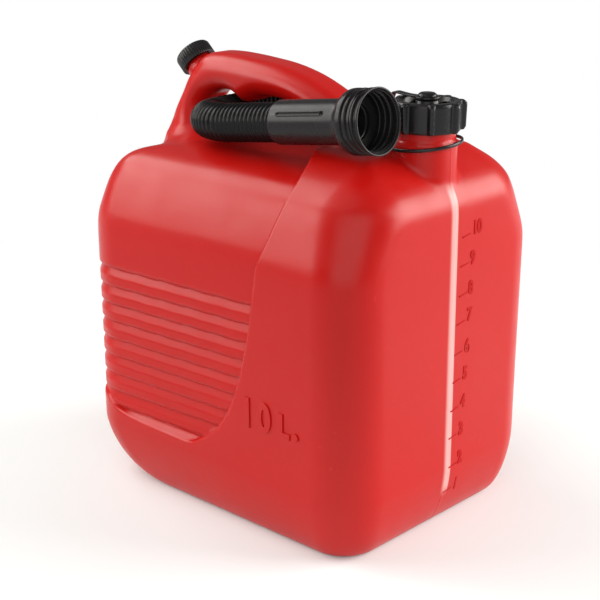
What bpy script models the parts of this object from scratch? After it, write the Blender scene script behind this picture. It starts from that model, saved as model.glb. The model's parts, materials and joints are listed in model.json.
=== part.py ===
"""A ten litre plastic fuel can with a stowed flexible spout.

Run with: blender --background --python part.py
Metres, +Z up. The origin is on the floor under the middle of the can.
+X is the filler end, -Y the side that the spout lies on.
"""
import bmesh
import bpy
import math
import numpy as np
from mathutils import Matrix, Vector

for old in list(bpy.data.objects):
    bpy.data.objects.remove(old, do_unlink=True)

# Can
LENGTH = 0.269
WIDTH = 0.208
WALL = 0.0022
SIDE_DRAFT = 0.0017
FRONT_CORNER_R = 0.035
REAR_CORNER_R = 0.041
BASE_HEIGHT = 0.045
BASE_INSET = 0.0169
BASE_POWER = 1.5
BASE_PANEL_LENGTH = 0.150
BASE_PANEL_WIDTH = 0.090
BASE_PANEL_DEPTH = 0.0022
BASE_PANEL_R = 0.020
BASE_PANEL_TAPER = 0.0015

# Shoulder: a steep band, an edge, then a roof
FRONT_ROOF_Z = 0.266
SIDE_SHOULDER_DROP = 0.067
SIDE_SHOULDER_Z = FRONT_ROOF_Z - SIDE_SHOULDER_DROP
SIDE_BAND_ANGLE = math.radians(72)
SIDE_BAND_RISE = 0.034
SIDE_EDGE_R = 0.026
SIDE_ROOF_ANGLE = math.radians(30)
FRONT_EDGE_DROP = 0.033
FRONT_EDGE_Z = FRONT_ROOF_Z - FRONT_EDGE_DROP
FRONT_EDGE_R = 0.012
FRONT_ROOF_ANGLE = math.radians(36)
REAR_ROOF_ANGLE = math.radians(14)
REAR_ROOF_DROP = 0.0135
REAR_ROOF_Z = FRONT_ROOF_Z - REAR_ROOF_DROP
REAR_SHOULDER_SHARE = 1.16
LEAST_CORNER_R = 0.006
REAR_SPACE_RISE = 0.026
STEP_OUTLINE_SPARE = 0.026

# Side recess, from nothing at the rear corner to its full depth at the step
RECESS_REAR_DEPTH = 0.0010
RECESS_STEP_DEPTH = 0.0088
STEP_FROM_FRONT = 0.0845
STEP_X = LENGTH / 2 - STEP_FROM_FRONT
RECESS_FLOOR_Z = 0.042
REAR_PART_INSET = 0.012
RIB_COUNT = 9
RIB_TOP_DROP = 0.033
RIB_TOP_Z = SIDE_SHOULDER_Z - RIB_TOP_DROP
RIB_PITCH = 0.01375
RIB_DEPTH = 0.0020
RIB_UNDERCUT = 0.0019
RIB_SLOPE = 0.0044

# Filler neck and cap
NECK_FROM_FRONT = 0.0265
NECK_X = LENGTH / 2 - NECK_FROM_FRONT
NECK_R = 0.0193
NECK_COLLAR_R = 0.0206
NECK_BORE_R = 0.0168
NECK_COLLAR_RISE = 0.0065
NECK_COLLAR_Z = FRONT_ROOF_Z + NECK_COLLAR_RISE
NECK_LIP_RISE = 0.0171
NECK_LIP_Z = NECK_COLLAR_Z + NECK_LIP_RISE
NECK_ROOT_DEPTH = 0.030
NECK_BORE_DEPTH = 0.041
SEAT_GAP = 0.0003
CAP_R = 0.0222
CAP_BORE_R = 0.0206
CAP_CLEARANCE = 0.0025
CAP_BOTTOM_Z = NECK_COLLAR_Z + CAP_CLEARANCE
CAP_TOP_WALL = 0.0020
CAP_WELL_DEPTH = 0.0050
CAP_WELL_R = 0.0172
CAP_WELL_RIBS = 8
CAP_LUGS = 8
CAP_LUG_REACH = 0.0265
CAP_LUG_WIDTH = 0.0026
CAP_KNOB_R = 0.0050
CAP_HUB_R = 0.0078
CAP_HEAD_R = 0.0064
SEAL_THICKNESS = 0.0018
SEAL_R = 0.0196
SEAL_HOLE_R = 0.0135
CAP_CEILING_Z = NECK_LIP_Z + SEAL_THICKNESS + 2 * SEAT_GAP
CAP_RIM_Z = CAP_CEILING_Z + CAP_TOP_WALL + CAP_WELL_DEPTH

# Tether
RING_R = 0.0245
RING_WIRE_R = 0.0011
RING_DROP = 0.003
RING_Z = NECK_COLLAR_Z - RING_DROP
RING_TILT = math.radians(7.5)
EYELET_R = 0.0085
EYELET_THICKNESS = 0.0018
STRAP_WIDTH = 0.0055
STRAP_THICKNESS = 0.0016

# Handle
HANDLE_HALF_WIDTH = 0.0195
HANDLE_HALF_THICK = 0.0145
HANDLE_WALL = 0.0022

# Vent neck and cap at the handle's rear corner
VENT_FROM_REAR = 0.0225
VENT_X = -LENGTH / 2 + VENT_FROM_REAR
VENT_RISE = 0.0395
VENT_Z = FRONT_ROOF_Z + VENT_RISE
VENT_ANGLE = math.radians(43)
VENT_CAP_R = 0.0140
VENT_CAP_HEIGHT = 0.0120
VENT_CAP_WALL = 0.0020
VENT_CAP_RIBS = 24
VENT_CAP_RIB_DEPTH = 0.0007
VENT_NECK_R = 0.0096
VENT_COLLAR_R = 0.0112
VENT_BORE_R = 0.0070
VENT_SEAL_THICKNESS = 0.0015
VENT_NECK_DEPTH = 0.022

# Spout
SPOUT_Y = -0.051
SPOUT_FROM_NECK = 0.082
SPOUT_START_X = NECK_X - SPOUT_FROM_NECK
SPOUT_START_RISE = 0.0143
SPOUT_START_Z = FRONT_ROOF_Z + SPOUT_START_RISE
SPOUT_RISE = math.radians(7.5)
SLEEVE_R = 0.0150
SLEEVE_LENGTH = 0.0615
SPOUT_BORE_R = 0.0110
SOCKET_DEPTH = 0.0140
SLEEVE_SLOT_LENGTH = 0.0300
BELL_R = 0.0214
BELL_RIDGE_PITCH = 0.0063
BELL_RIDGE_DEPTH = 0.0015
BELL_WALL = 0.0013
BELL_LENGTH = 0.0245
GASKET_THICKNESS = 0.0020
HOSE_R = 0.0135
HOSE_BORE_R = 0.0105
HOSE_RIB_PITCH = 0.0043
HOSE_RIB_DEPTH = 0.0011
BEND_R = 0.0435
NEAR_LEG_LENGTH = 0.053
BEND_X = SPOUT_START_X - NEAR_LEG_LENGTH
BEND_LOW_RISE = 0.0151
BEND_LOW_Z = REAR_ROOF_Z + BEND_LOW_RISE
FAR_LEG_RISE = 0.0070
FAR_LEG_Z = FRONT_ROOF_Z + FAR_LEG_RISE
FAR_LEG_LENGTH = 0.0140
NOZZLE_LENGTH = 0.0580
NOZZLE_TIP_R = 0.0092
NOZZLE_WALL = 0.0016

CORNER_STEPS = 7
SIDE_STEPS = 3

parts = bpy.data.collections.new("jerrycan")
cutters = bpy.data.collections.new("cutters")
bpy.context.scene.collection.children.link(parts)
bpy.context.scene.collection.children.link(cutters)


def material(name, colour, roughness):
    mat = bpy.data.materials.new(name)
    mat.use_nodes = True
    shader = mat.node_tree.nodes["Principled BSDF"]
    shader.inputs["Base Color"].default_value = (*colour, 1)
    shader.inputs["Roughness"].default_value = roughness
    shader.inputs["Metallic"].default_value = 0.0
    return mat


def add_object(name, mesh, collection, mat=None):
    obj = bpy.data.objects.new(name, mesh)
    collection.objects.link(obj)
    if mat:
        mesh.materials.clear()
        mesh.materials.append(mat)
    if collection == cutters:
        obj.hide_render = True
        obj.display_type = "WIRE"
    return obj


def close_mesh(mesh):
    """Weld double points and turn every face outwards."""
    bm = bmesh.new()
    bm.from_mesh(mesh)
    bmesh.ops.remove_doubles(bm, verts=bm.verts, dist=0.00001)
    bmesh.ops.recalc_face_normals(bm, faces=bm.faces)
    bm.to_mesh(mesh)
    bm.free()


def evaluated_mesh(obj):
    bpy.context.view_layer.update()
    graph = bpy.context.evaluated_depsgraph_get()
    mesh = bpy.data.meshes.new_from_object(obj.evaluated_get(graph))
    close_mesh(mesh)
    return mesh


def loft(name, rings, collection=cutters):
    """A closed body through rings of equal count, capped at both ends."""
    bm = bmesh.new()
    rows = [[bm.verts.new(p) for p in ring] for ring in rings]
    count = len(rows[0])
    for low, high in zip(rows[:-1], rows[1:]):
        for i in range(count):
            j = (i + 1) % count
            bm.faces.new((low[i], low[j], high[j], high[i]))
    bm.faces.new(list(reversed(rows[0])))
    bm.faces.new(rows[-1])
    mesh = bpy.data.meshes.new(name)
    bm.to_mesh(mesh)
    bm.free()
    close_mesh(mesh)
    return add_object(name, mesh, collection)


def turned(name, profile, steps=32, collection=cutters):
    """A profile of (radius, height) points turned about Z."""
    mesh = bpy.data.meshes.new(name)
    points = [(r, 0, z) for r, z in profile]
    edges = [(i, (i + 1) % len(points)) for i in range(len(points))]
    mesh.from_pydata(points, edges, [])
    guide = add_object(name + "_profile", mesh, cutters)
    screw = guide.modifiers.new("turn", "SCREW")
    screw.axis = "Z"
    screw.steps = steps
    screw.render_steps = steps
    screw.use_merge_vertices = True
    screw.merge_threshold = 0.00001
    body = evaluated_mesh(guide)
    bpy.data.objects.remove(guide, do_unlink=True)
    return add_object(name, drop_axis_faces(body), collection)


def drop_axis_faces(mesh):
    """Remove the slivers that a profile's edge on the axis leaves, and close the mesh."""
    bm = bmesh.new()
    bm.from_mesh(mesh)
    bmesh.ops.dissolve_degenerate(bm, dist=0.000005, edges=bm.edges)
    loose = [e for e in bm.edges if not e.link_faces]
    bmesh.ops.delete(bm, geom=loose, context="EDGES")
    bmesh.ops.recalc_face_normals(bm, faces=bm.faces)
    bm.to_mesh(mesh)
    bm.free()
    return mesh


def place(obj, matrix):
    obj.data.transform(matrix)
    return obj


def boolean(obj, tool, operation):
    mod = obj.modifiers.new(operation.lower(), "BOOLEAN")
    mod.operation = operation
    mod.object = tool
    mod.solver = "EXACT"
    mesh = evaluated_mesh(obj)
    obj.modifiers.remove(mod)
    obj.data = mesh
    return obj


def box(name, size, centre, collection=cutters):
    bpy.ops.mesh.primitive_cube_add(size=1)
    obj = bpy.context.object
    mesh = obj.data
    bpy.data.objects.remove(obj, do_unlink=True)
    mesh.transform(Matrix.Translation(centre) @ Matrix.Diagonal((*size, 1)))
    return add_object(name, mesh, collection)


def joined(name, objects):
    """One object that holds several separate solids."""
    bm = bmesh.new()
    for obj in objects:
        bm.from_mesh(obj.data)
    mesh = bpy.data.meshes.new(name)
    bm.to_mesh(mesh)
    bm.free()
    for obj in objects:
        bpy.data.objects.remove(obj, do_unlink=True)
    return add_object(name, mesh, cutters)


def finish(obj, name, mat, origin=(0, 0, 0)):
    """Move a finished body to the parts, with its origin at the given point."""
    obj.name = name
    obj.data.name = name
    cutters.objects.unlink(obj)
    parts.objects.link(obj)
    obj.hide_render = False
    obj.display_type = "TEXTURED"
    obj.data.transform(Matrix.Translation(-Vector(origin)))
    obj.location = origin
    obj.data.materials.clear()
    obj.data.materials.append(mat)
    obj.data.shade_smooth()
    obj.data.set_sharp_from_angle(angle=math.radians(35))
    return obj


def shoulder_curve(base_z, band_angle, band_rise, edge_r, roof_angle, top_z):
    """Insets and heights of a shoulder, from the wall to the roof's top."""
    inset = band_rise / math.tan(band_angle)
    points = [(0, base_z), (inset, base_z + band_rise)]
    for angle in np.linspace(band_angle, roof_angle, 7)[1:]:
        across = edge_r * (math.sin(band_angle) - math.sin(angle))
        up = edge_r * (math.cos(angle) - math.cos(band_angle))
        points.append((inset + across, base_z + band_rise + up))
    last_inset, last_z = points[-1]
    points.append((last_inset + (top_z - last_z) / math.tan(roof_angle), top_z))
    return points


def inset_at(z, curve):
    return float(np.interp(z, [p[1] for p in curve], [p[0] for p in curve]))


def base_inset(z):
    """The wall's way in towards the base: flat against the wall, round at the floor."""
    low = max(0.0, 1 - z / BASE_HEIGHT)
    return BASE_INSET * (1 - math.sqrt(1 - low ** BASE_POWER))


def rib_levels():
    levels = []
    for k in range(RIB_COUNT):
        top = RIB_TOP_Z - k * RIB_PITCH
        levels.append((top, 0.0))
        levels.append((top - RIB_UNDERCUT, RIB_DEPTH))
        levels.append((top - RIB_UNDERCUT - RIB_SLOPE, 0.0))
    return levels[::-1]


def plan_ring(z, front, rear, half, front_r, rear_r, pinch=0.0, rib=0.0):
    """A rounded rectangle at height z. pinch draws the sides in towards the front by that much,
    and rib sinks the sides and fades out round the rear corners."""
    points = []
    corners = ((front, half, front_r, 0), (rear, half, rear_r, 90),
               (rear, -half, rear_r, 180), (front, -half, front_r, 270))
    for n, (x, y, r, start) in enumerate(corners):
        cx = x - math.copysign(r, x - (front + rear) / 2)
        cy = y - math.copysign(r, y)
        for k in range(CORNER_STEPS + 1):
            turn = start + 90 * k / CORNER_STEPS
            a = math.radians(turn)
            px = cx + r * math.cos(a)
            py = cy + r * math.sin(a)
            off_side = abs(math.degrees(math.acos(min(1, abs(math.sin(a))))))
            weight = 1.0 if x == front else min(1, max(0, (85 - off_side) / 20))
            py -= math.copysign(rib * weight, y)
            points.append((px, py))
        if n in (0, 2):
            nx = corners[n + 1][0]
            sign = 1 if y > 0 else -1
            end_cx = nx - math.copysign(corners[n + 1][2], nx - (front + rear) / 2)
            for k in range(1, SIDE_STEPS):
                points.append((cx + (end_cx - cx) * k / SIDE_STEPS, sign * (half - rib)))
    drawn = []
    span = STEP_X - rear
    for px, py in points:
        share = min(1.6, max(0, (px - rear) / span))
        drawn.append((px, py * (1 - pinch * share / half), z))
    return drawn


def body_rings(offset, pinch, half, rear_x, levels, top_z, roof_angle):
    """Rings of the can's outer skin, or of its inside when offset is a wall thickness. The rear
    corners open out towards the base, and all corners get tighter up the shoulder."""
    side = shoulder_curve(SIDE_SHOULDER_Z, SIDE_BAND_ANGLE, SIDE_BAND_RISE, SIDE_EDGE_R,
                          roof_angle, top_z)
    front = shoulder_curve(FRONT_EDGE_Z, math.radians(89.5), 0.0001, FRONT_EDGE_R,
                           FRONT_ROOF_ANGLE, top_z)
    rings = []
    for z, rib in levels:
        skin_z = min(z + offset * 0.9, top_z) if z > SIDE_SHOULDER_Z else z
        low = base_inset(max(z - offset, 0))
        draft = SIDE_DRAFT * max(0, 1 - z / SIDE_SHOULDER_Z)
        side_up = inset_at(skin_z, side)
        front_up = inset_at(skin_z, front)
        side_in = side_up + low + offset + draft
        front_in = front_up + low + offset + draft / 3
        rear_in = side_up * REAR_SHOULDER_SHARE + low + offset
        front_r = FRONT_CORNER_R + 0.57 * side_up - 1.82 * front_up - 0.8 * low - offset
        rear_r = REAR_CORNER_R - side_up + 2 * low - offset
        rings.append(plan_ring(z, LENGTH / 2 - front_in, rear_x + rear_in, half - side_in,
                               max(front_r, LEAST_CORNER_R), max(rear_r, LEAST_CORNER_R),
                               pinch, rib))
    return rings


def base_levels(floor_z):
    shares = (0, 0.02, 0.07, 0.15, 0.28, 0.45, 0.7, 1)
    return [(floor_z + (BASE_HEIGHT - floor_z) * share, 0.0) for share in shares]


def shoulder_levels(base_z, top_z, roof_angle):
    curve = shoulder_curve(base_z, SIDE_BAND_ANGLE, SIDE_BAND_RISE, SIDE_EDGE_R,
                           roof_angle, top_z)
    heights = [p[1] for p in curve]
    heights.insert(1, base_z + SIDE_BAND_RISE / 2)
    return [(z, 0.0) for z in heights]


def step_outline(shift=0.0):
    """The recess seen from the side: its lower lip, its curved front step and its open top.
    The points are shares of the way from the rear end to the step, and of the roof's height."""
    spine = [
              (0.1436, 0.2391), (0.1816, 0.2180), (0.2683, 0.2023), (0.4309, 0.1947),
              (0.5664, 0.1925), (0.6423, 0.2011), (0.7073, 0.2256), (0.7832, 0.2688),
              (0.8564, 0.3376), (0.9106, 0.4248), (0.9458, 0.5075), (0.9702, 0.5865),
              (0.9919, 0.6692), (1.0054, 0.7331), (1.0244, 0.7744), (1.0515, 0.8383),
              (1.0732, 0.8835), (1.0786, 0.9173), (1.0596, 0.9511), (1.0271, 0.9774),
              (0.9892, 1.0038), (0.9350, 1.0338)]
    span = STEP_X + LENGTH / 2
    drawn = [(share_x * span - LENGTH / 2, share_z * FRONT_ROOF_Z) for share_x, share_z in spine]
    behind = -LENGTH / 2 - STEP_OUTLINE_SPARE
    above = NECK_LIP_Z + NECK_BORE_DEPTH
    points = [(behind, drawn[0][1])] + drawn + [(drawn[-1][0], above), (behind, above)]
    return [(x + shift, z - shift) for x, z in points]


def step_prism(name, shift=0.0):
    outline = step_outline(shift)
    near = [(x, -WIDTH, z) for x, z in outline]
    far = [(x, WIDTH, z) for x, z in outline]
    return loft(name, [near, far])


def handle_rings(thin=0.0):
    """Oval sections along the handle, from the rear post over the grip to the neck's foot.
    Each is a share of the length, of the roof's height and of the grip's thickness."""
    shares = [
              (-0.3866, 0.8346, 1.655), (-0.4126, 0.9135, 1.552), (-0.4090, 0.9774, 1.110),
              (-0.3850, 1.0320, 0.875), (-0.3500, 1.0789, 0.862), (-0.3020, 1.1135, 0.966),
              (-0.2230, 1.1222, 1.000), (-0.1301, 1.1203, 1.000), (-0.0446, 1.1135, 1.000),
              (0.0223, 1.0977, 0.986), (0.0855, 1.0752, 0.952), (0.1487, 1.0451, 0.952),
              (0.2119, 1.0075, 1.000), (0.2602, 0.9624, 1.103)]
    stations = [(x * LENGTH, z * FRONT_ROOF_Z, t * HANDLE_HALF_THICK) for x, z, t in shares]
    path = [Vector((x, 0, z)) for x, z, t in stations]
    flare = [share * HANDLE_HALF_WIDTH for share in (0.92, 0.56, 0.15)]
    rings = []
    for i, (x, z, half_thick) in enumerate(stations):
        ahead = path[min(i + 1, len(path) - 1)]
        behind = path[max(i - 1, 0)]
        along = (ahead - behind).normalized()
        out = Vector((-along.z, 0, along.x))
        from_end = min(i, len(stations) - 1 - i)
        half_width = HANDLE_HALF_WIDTH + (flare[from_end] if from_end < len(flare) else 0)
        ring = []
        for k in range(16):
            a = 2 * math.pi * k / 16
            across = math.copysign(abs(math.cos(a)) ** 0.85, math.cos(a))
            up = math.copysign(abs(math.sin(a)) ** 0.85, math.sin(a))
            point = path[i] + out * (half_thick - thin) * up
            point.y = (half_width - thin) * across
            ring.append(tuple(point))
        rings.append(ring)
    return rings


def vent_matrix():
    """Turns the local Z axis to the vent's axis, with the origin at the vent cap's middle."""
    tilt = Matrix.Rotation(-(math.pi / 2 - VENT_ANGLE), 4, "Y")
    return Matrix.Translation((VENT_X, 0, VENT_Z)) @ tilt


def spout_matrix():
    """Turns the local Z axis to the spout's axis, with the origin at the sleeve's rear end."""
    tilt = Matrix.Rotation(math.pi / 2 - SPOUT_RISE, 4, "Y")
    return Matrix.Translation((SPOUT_START_X, SPOUT_Y, SPOUT_START_Z)) @ tilt


def keep_behind(ring, inset):
    """Holds the rear part back from the front face, more so up the shoulder."""
    return [(min(x, LENGTH / 2 - inset - 0.3 * max(z - SIDE_SHOULDER_Z, 0)), y, z)
            for x, y, z in ring]


def make_can_body(mat):
    recess_half = WIDTH / 2 - RECESS_REAR_DEPTH
    recess_pinch = RECESS_STEP_DEPTH - RECESS_REAR_DEPTH
    levels = base_levels(0)
    levels += shoulder_levels(SIDE_SHOULDER_Z, FRONT_ROOF_Z, SIDE_ROOF_ANGLE)
    can = loft("can", body_rings(0, 0, WIDTH / 2, -LENGTH / 2, levels, FRONT_ROOF_Z,
                                 SIDE_ROOF_ANGLE))
    boolean(can, step_prism("step_cut"), "DIFFERENCE")

    bottom = [(RECESS_FLOOR_Z, 0.0)]
    rear_levels = bottom + rib_levels()
    rear_levels += shoulder_levels(SIDE_SHOULDER_Z, REAR_ROOF_Z, REAR_ROOF_ANGLE)
    rear_rings = body_rings(0, recess_pinch, recess_half, -LENGTH / 2 + SEAT_GAP, rear_levels,
                            REAR_ROOF_Z, REAR_ROOF_ANGLE)
    rear_rings = [keep_behind(ring, REAR_PART_INSET) for ring in rear_rings]
    boolean(can, loft("recessed_part", rear_rings), "UNION")
    boolean(can, loft("handle", handle_rings()), "UNION")

    collar_low = FRONT_ROOF_Z - NECK_ROOT_DEPTH
    neck = turned("neck", [(0, collar_low), (NECK_COLLAR_R + 0.0010, collar_low),
                           (NECK_COLLAR_R, FRONT_ROOF_Z - 0.008), (NECK_COLLAR_R, NECK_COLLAR_Z),
                           (NECK_R, NECK_COLLAR_Z + 0.0008), (NECK_R, NECK_LIP_Z - 0.0008),
                           (NECK_R - 0.0008, NECK_LIP_Z), (0, NECK_LIP_Z)], 32)
    boolean(can, place(neck, Matrix.Translation((NECK_X, 0, 0))), "UNION")

    lip = vent_lip()
    vent = turned("vent", [(0, -VENT_NECK_DEPTH), (VENT_COLLAR_R, -VENT_NECK_DEPTH),
                           (VENT_COLLAR_R, -VENT_CAP_HEIGHT / 2 - 0.0012),
                           (VENT_NECK_R, -VENT_CAP_HEIGHT / 2 - 0.0002),
                           (VENT_NECK_R, lip - 0.0005), (VENT_NECK_R - 0.0005, lip), (0, lip)], 24)
    boolean(can, place(vent, vent_matrix()), "UNION")

    floor = WALL + BASE_PANEL_DEPTH
    inside = base_levels(floor)
    inside += shoulder_levels(SIDE_SHOULDER_Z, FRONT_ROOF_Z - WALL, SIDE_ROOF_ANGLE)
    front_space = loft("front_space", body_rings(WALL, 0, WIDTH / 2, -LENGTH / 2, inside,
                                                 FRONT_ROOF_Z, SIDE_ROOF_ANGLE))
    boolean(front_space, step_prism("inner_step_cut", WALL * 1.2), "DIFFERENCE")
    rear_inside = [(floor + REAR_SPACE_RISE, 0.0)]
    rear_inside += shoulder_levels(SIDE_SHOULDER_Z, REAR_ROOF_Z - WALL, REAR_ROOF_ANGLE)
    rear_space_rings = body_rings(WALL, recess_pinch, recess_half - RIB_DEPTH,
                                  -LENGTH / 2 + SEAT_GAP, rear_inside, REAR_ROOF_Z,
                                  REAR_ROOF_ANGLE)
    rear_space_rings = [keep_behind(ring, REAR_PART_INSET + WALL) for ring in rear_space_rings]
    boolean(front_space, loft("rear_space", rear_space_rings), "UNION")
    boolean(front_space, loft("handle_space", handle_rings(HANDLE_WALL)), "UNION")
    bore_low = FRONT_ROOF_Z - NECK_BORE_DEPTH
    bore_top = NECK_LIP_Z + NECK_ROOT_DEPTH
    bore = turned("neck_bore", [(0, bore_low), (NECK_BORE_R, bore_low), (NECK_BORE_R, bore_top),
                                (0, bore_top)], 32)
    boolean(front_space, place(bore, Matrix.Translation((NECK_X, 0, 0))), "UNION")
    vent_low = WALL - VENT_NECK_DEPTH
    vent_bore = turned("vent_bore", [(0, vent_low), (VENT_BORE_R, vent_low),
                                     (VENT_BORE_R, VENT_NECK_DEPTH), (0, VENT_NECK_DEPTH)], 20)
    boolean(front_space, place(vent_bore, vent_matrix()), "UNION")
    boolean(can, front_space, "DIFFERENCE")

    panel_rings = []
    for z, grow in ((-BASE_PANEL_DEPTH, 0.0), (BASE_PANEL_DEPTH, -BASE_PANEL_TAPER)):
        half_l = BASE_PANEL_LENGTH / 2 + grow
        panel_rings.append(plan_ring(z, half_l, -half_l, BASE_PANEL_WIDTH / 2 + grow,
                                     BASE_PANEL_R, BASE_PANEL_R))
    boolean(can, loft("base_panel", panel_rings), "DIFFERENCE")
    return finish(can, "can_body", mat)


def make_filler_cap(mat):
    ceiling = CAP_CEILING_Z
    floor = ceiling + CAP_TOP_WALL
    knob_top = CAP_RIM_Z + EYELET_THICKNESS + 2 * SEAT_GAP
    profile = [(0, ceiling), (CAP_BORE_R, ceiling), (CAP_BORE_R, CAP_BOTTOM_Z),
               (CAP_R, CAP_BOTTOM_Z), (CAP_R, CAP_RIM_Z - 0.0012), (CAP_R - 0.0012, CAP_RIM_Z),
               (CAP_WELL_R, CAP_RIM_Z), (CAP_WELL_R - 0.0008, floor), (CAP_HUB_R, floor),
               (CAP_HUB_R, CAP_RIM_Z), (CAP_KNOB_R, CAP_RIM_Z), (CAP_KNOB_R, knob_top),
               (CAP_HEAD_R, knob_top), (CAP_HEAD_R - 0.0012, knob_top + 0.0016),
               (0, knob_top + 0.0022)]
    cap = turned("cap", profile, 32)
    lugs = []
    ribs = []
    lug_in = CAP_R - 0.0006
    lug_top = CAP_RIM_Z - 0.0010
    lug_low = CAP_BOTTOM_Z + 0.0022
    for k in range(CAP_LUGS):
        size = (CAP_LUG_REACH - lug_in, CAP_LUG_WIDTH, lug_top - lug_low)
        lug = box("lug", size, ((CAP_LUG_REACH + lug_in) / 2, 0, (lug_top + lug_low) / 2))
        for vert in lug.data.vertices:
            if vert.co.x > CAP_R and vert.co.z > lug_top - 0.001:
                vert.co.x -= 0.0012
        lugs.append(place(lug, Matrix.Rotation(2 * math.pi * k / CAP_LUGS, 4, "Z")))
    for k in range(CAP_WELL_RIBS):
        inner = CAP_HUB_R - 0.0005
        outer = CAP_WELL_R - 0.0001
        rib = box("rib", (outer - inner, 0.0012, CAP_RIM_Z - 0.0012 - floor + 0.0004),
                  ((outer + inner) / 2, 0, (CAP_RIM_Z - 0.0012 + floor - 0.0004) / 2))
        ribs.append(place(rib, Matrix.Rotation(2 * math.pi * (k + 0.5) / CAP_WELL_RIBS, 4, "Z")))
    boolean(cap, joined("lugs", lugs), "UNION")
    boolean(cap, joined("well_ribs", ribs), "UNION")
    place(cap, Matrix.Translation((NECK_X, 0, 0)))
    return finish(cap, "filler_cap", mat, (NECK_X, 0, CAP_BOTTOM_Z))


def make_ring_seal(name, low, thickness, outer, inner, matrix, mat, origin):
    ring = turned(name, [(inner, low), (outer, low), (outer, low + thickness),
                         (inner, low + thickness)], 32)
    place(ring, matrix)
    return finish(ring, name, mat, origin)


def make_tether(mat):
    loop = curve_tube("tether_ring", circle_points(RING_R, 28), RING_WIRE_R, cyclic=True)
    turn = Matrix.Translation((NECK_X, 0, RING_Z)) @ Matrix.Rotation(RING_TILT, 4, "Y")
    finish(place(loop, turn), "tether_ring", mat, (NECK_X, 0, RING_Z))

    low = CAP_RIM_Z + SEAT_GAP
    eyelet = turned("eyelet", [(CAP_KNOB_R + SEAT_GAP, low), (EYELET_R, low),
                               (EYELET_R, low + EYELET_THICKNESS),
                               (CAP_KNOB_R + SEAT_GAP, low + EYELET_THICKNESS)], 28)
    place(eyelet, Matrix.Translation((NECK_X, 0, 0)))
    finish(eyelet, "tether_eyelet", mat, (NECK_X, 0, low))

    strap_low = RING_Z + RING_R * math.sin(RING_TILT)
    ring_rear = NECK_X - RING_R * math.cos(RING_TILT)
    outside = RING_WIRE_R + SEAT_GAP + STRAP_THICKNESS / 2
    eyelet_mid = low + EYELET_THICKNESS / 2
    route = [(ring_rear - outside, strap_low + 0.0005),
             (NECK_X - CAP_LUG_REACH - 0.0026, strap_low + 0.0034),
             (NECK_X - CAP_LUG_REACH - 0.0030, CAP_RIM_Z - 0.0130),
             (NECK_X - CAP_LUG_REACH - 0.0030, CAP_RIM_Z - 0.0010),
             (NECK_X - CAP_LUG_REACH + 0.0010, CAP_RIM_Z + 0.0030),
             (NECK_X - CAP_R + 0.0030, eyelet_mid + 0.0014),
             (NECK_X - EYELET_R - 0.0035, eyelet_mid),
             (NECK_X - EYELET_R - SEAT_GAP, eyelet_mid)]
    rings = []
    for i, (x, z) in enumerate(route):
        here = Vector((x, 0, z))
        ahead = Vector((route[min(i + 1, len(route) - 1)][0], 0, route[min(i + 1, len(route) - 1)][1]))
        behind = Vector((route[max(i - 1, 0)][0], 0, route[max(i - 1, 0)][1]))
        along = (ahead - behind).normalized()
        out = Vector((-along.z, 0, along.x)) * STRAP_THICKNESS / 2
        side = Vector((0, STRAP_WIDTH / 2, 0))
        rings.append([here + out + side, here + out - side, here - out - side, here - out + side])
    strap = loft("strap", rings)
    finish(strap, "tether_strap", mat, (NECK_X, 0, RING_Z))


def circle_points(radius, count):
    return [(radius * math.cos(2 * math.pi * k / count), radius * math.sin(2 * math.pi * k / count), 0)
            for k in range(count)]


def curve_tube(name, points, radius, cyclic=False, radii=None, resolution=2):
    """A round tube along the points, as a closed mesh."""
    data = bpy.data.curves.new(name, "CURVE")
    data.dimensions = "3D"
    data.bevel_depth = radius
    data.bevel_resolution = resolution
    data.use_fill_caps = True
    spline = data.splines.new("POLY")
    spline.points.add(len(points) - 1)
    spline.use_cyclic_u = cyclic
    for i, p in enumerate(points):
        spline.points[i].co = (*p, 1)
        spline.points[i].radius = radii[i] if radii else 1.0
    guide = bpy.data.objects.new(name + "_curve", data)
    cutters.objects.link(guide)
    mesh = evaluated_mesh(guide)
    bpy.data.objects.remove(guide, do_unlink=True)
    return add_object(name, mesh, cutters)


def vent_lip():
    return VENT_CAP_HEIGHT / 2 - VENT_CAP_WALL - VENT_SEAL_THICKNESS - 2 * SEAT_GAP


def make_vent_cap(mat):
    half = VENT_CAP_HEIGHT / 2
    bore = VENT_NECK_R + 0.0010
    core = VENT_CAP_R - VENT_CAP_RIB_DEPTH
    cap = turned("vent_cap", [(0, half - VENT_CAP_WALL), (bore, half - VENT_CAP_WALL), (bore, -half),
                              (core, -half), (core, half - 0.0010), (core - 0.0010, half),
                              (0, half)], 36)
    ribs = []
    for k in range(VENT_CAP_RIBS):
        reach = VENT_CAP_R - core + 0.0006
        rib = box("rib", (reach, 0.0014, VENT_CAP_HEIGHT - 0.0022),
                  (VENT_CAP_R - reach / 2, 0, -0.0006))
        ribs.append(place(rib, Matrix.Rotation(2 * math.pi * k / VENT_CAP_RIBS, 4, "Z")))
    boolean(cap, joined("grip_ribs", ribs), "UNION")
    place(cap, vent_matrix())
    return finish(cap, "vent_cap", mat, (VENT_X, 0, VENT_Z))


def bell_profile(inside):
    """Ridges of the bell's wall from its shoulder to its mouth, outside or inside."""
    steps = int(round(BELL_LENGTH / (BELL_RIDGE_PITCH / 4)))
    points = []
    for k in range(steps + 1):
        s = BELL_LENGTH * k / steps
        wave = 0.5 - 0.5 * math.cos(2 * math.pi * s / BELL_RIDGE_PITCH)
        r = BELL_R - BELL_RIDGE_DEPTH * (1 - wave)
        if k == steps:
            r = BELL_R
        points.append((r - (BELL_WALL if inside else 0), SLEEVE_LENGTH + 0.004 + s))
    return points


def bell_seat():
    return SLEEVE_LENGTH + 0.0030


def socket_r():
    return HOSE_R + SEAT_GAP


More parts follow.
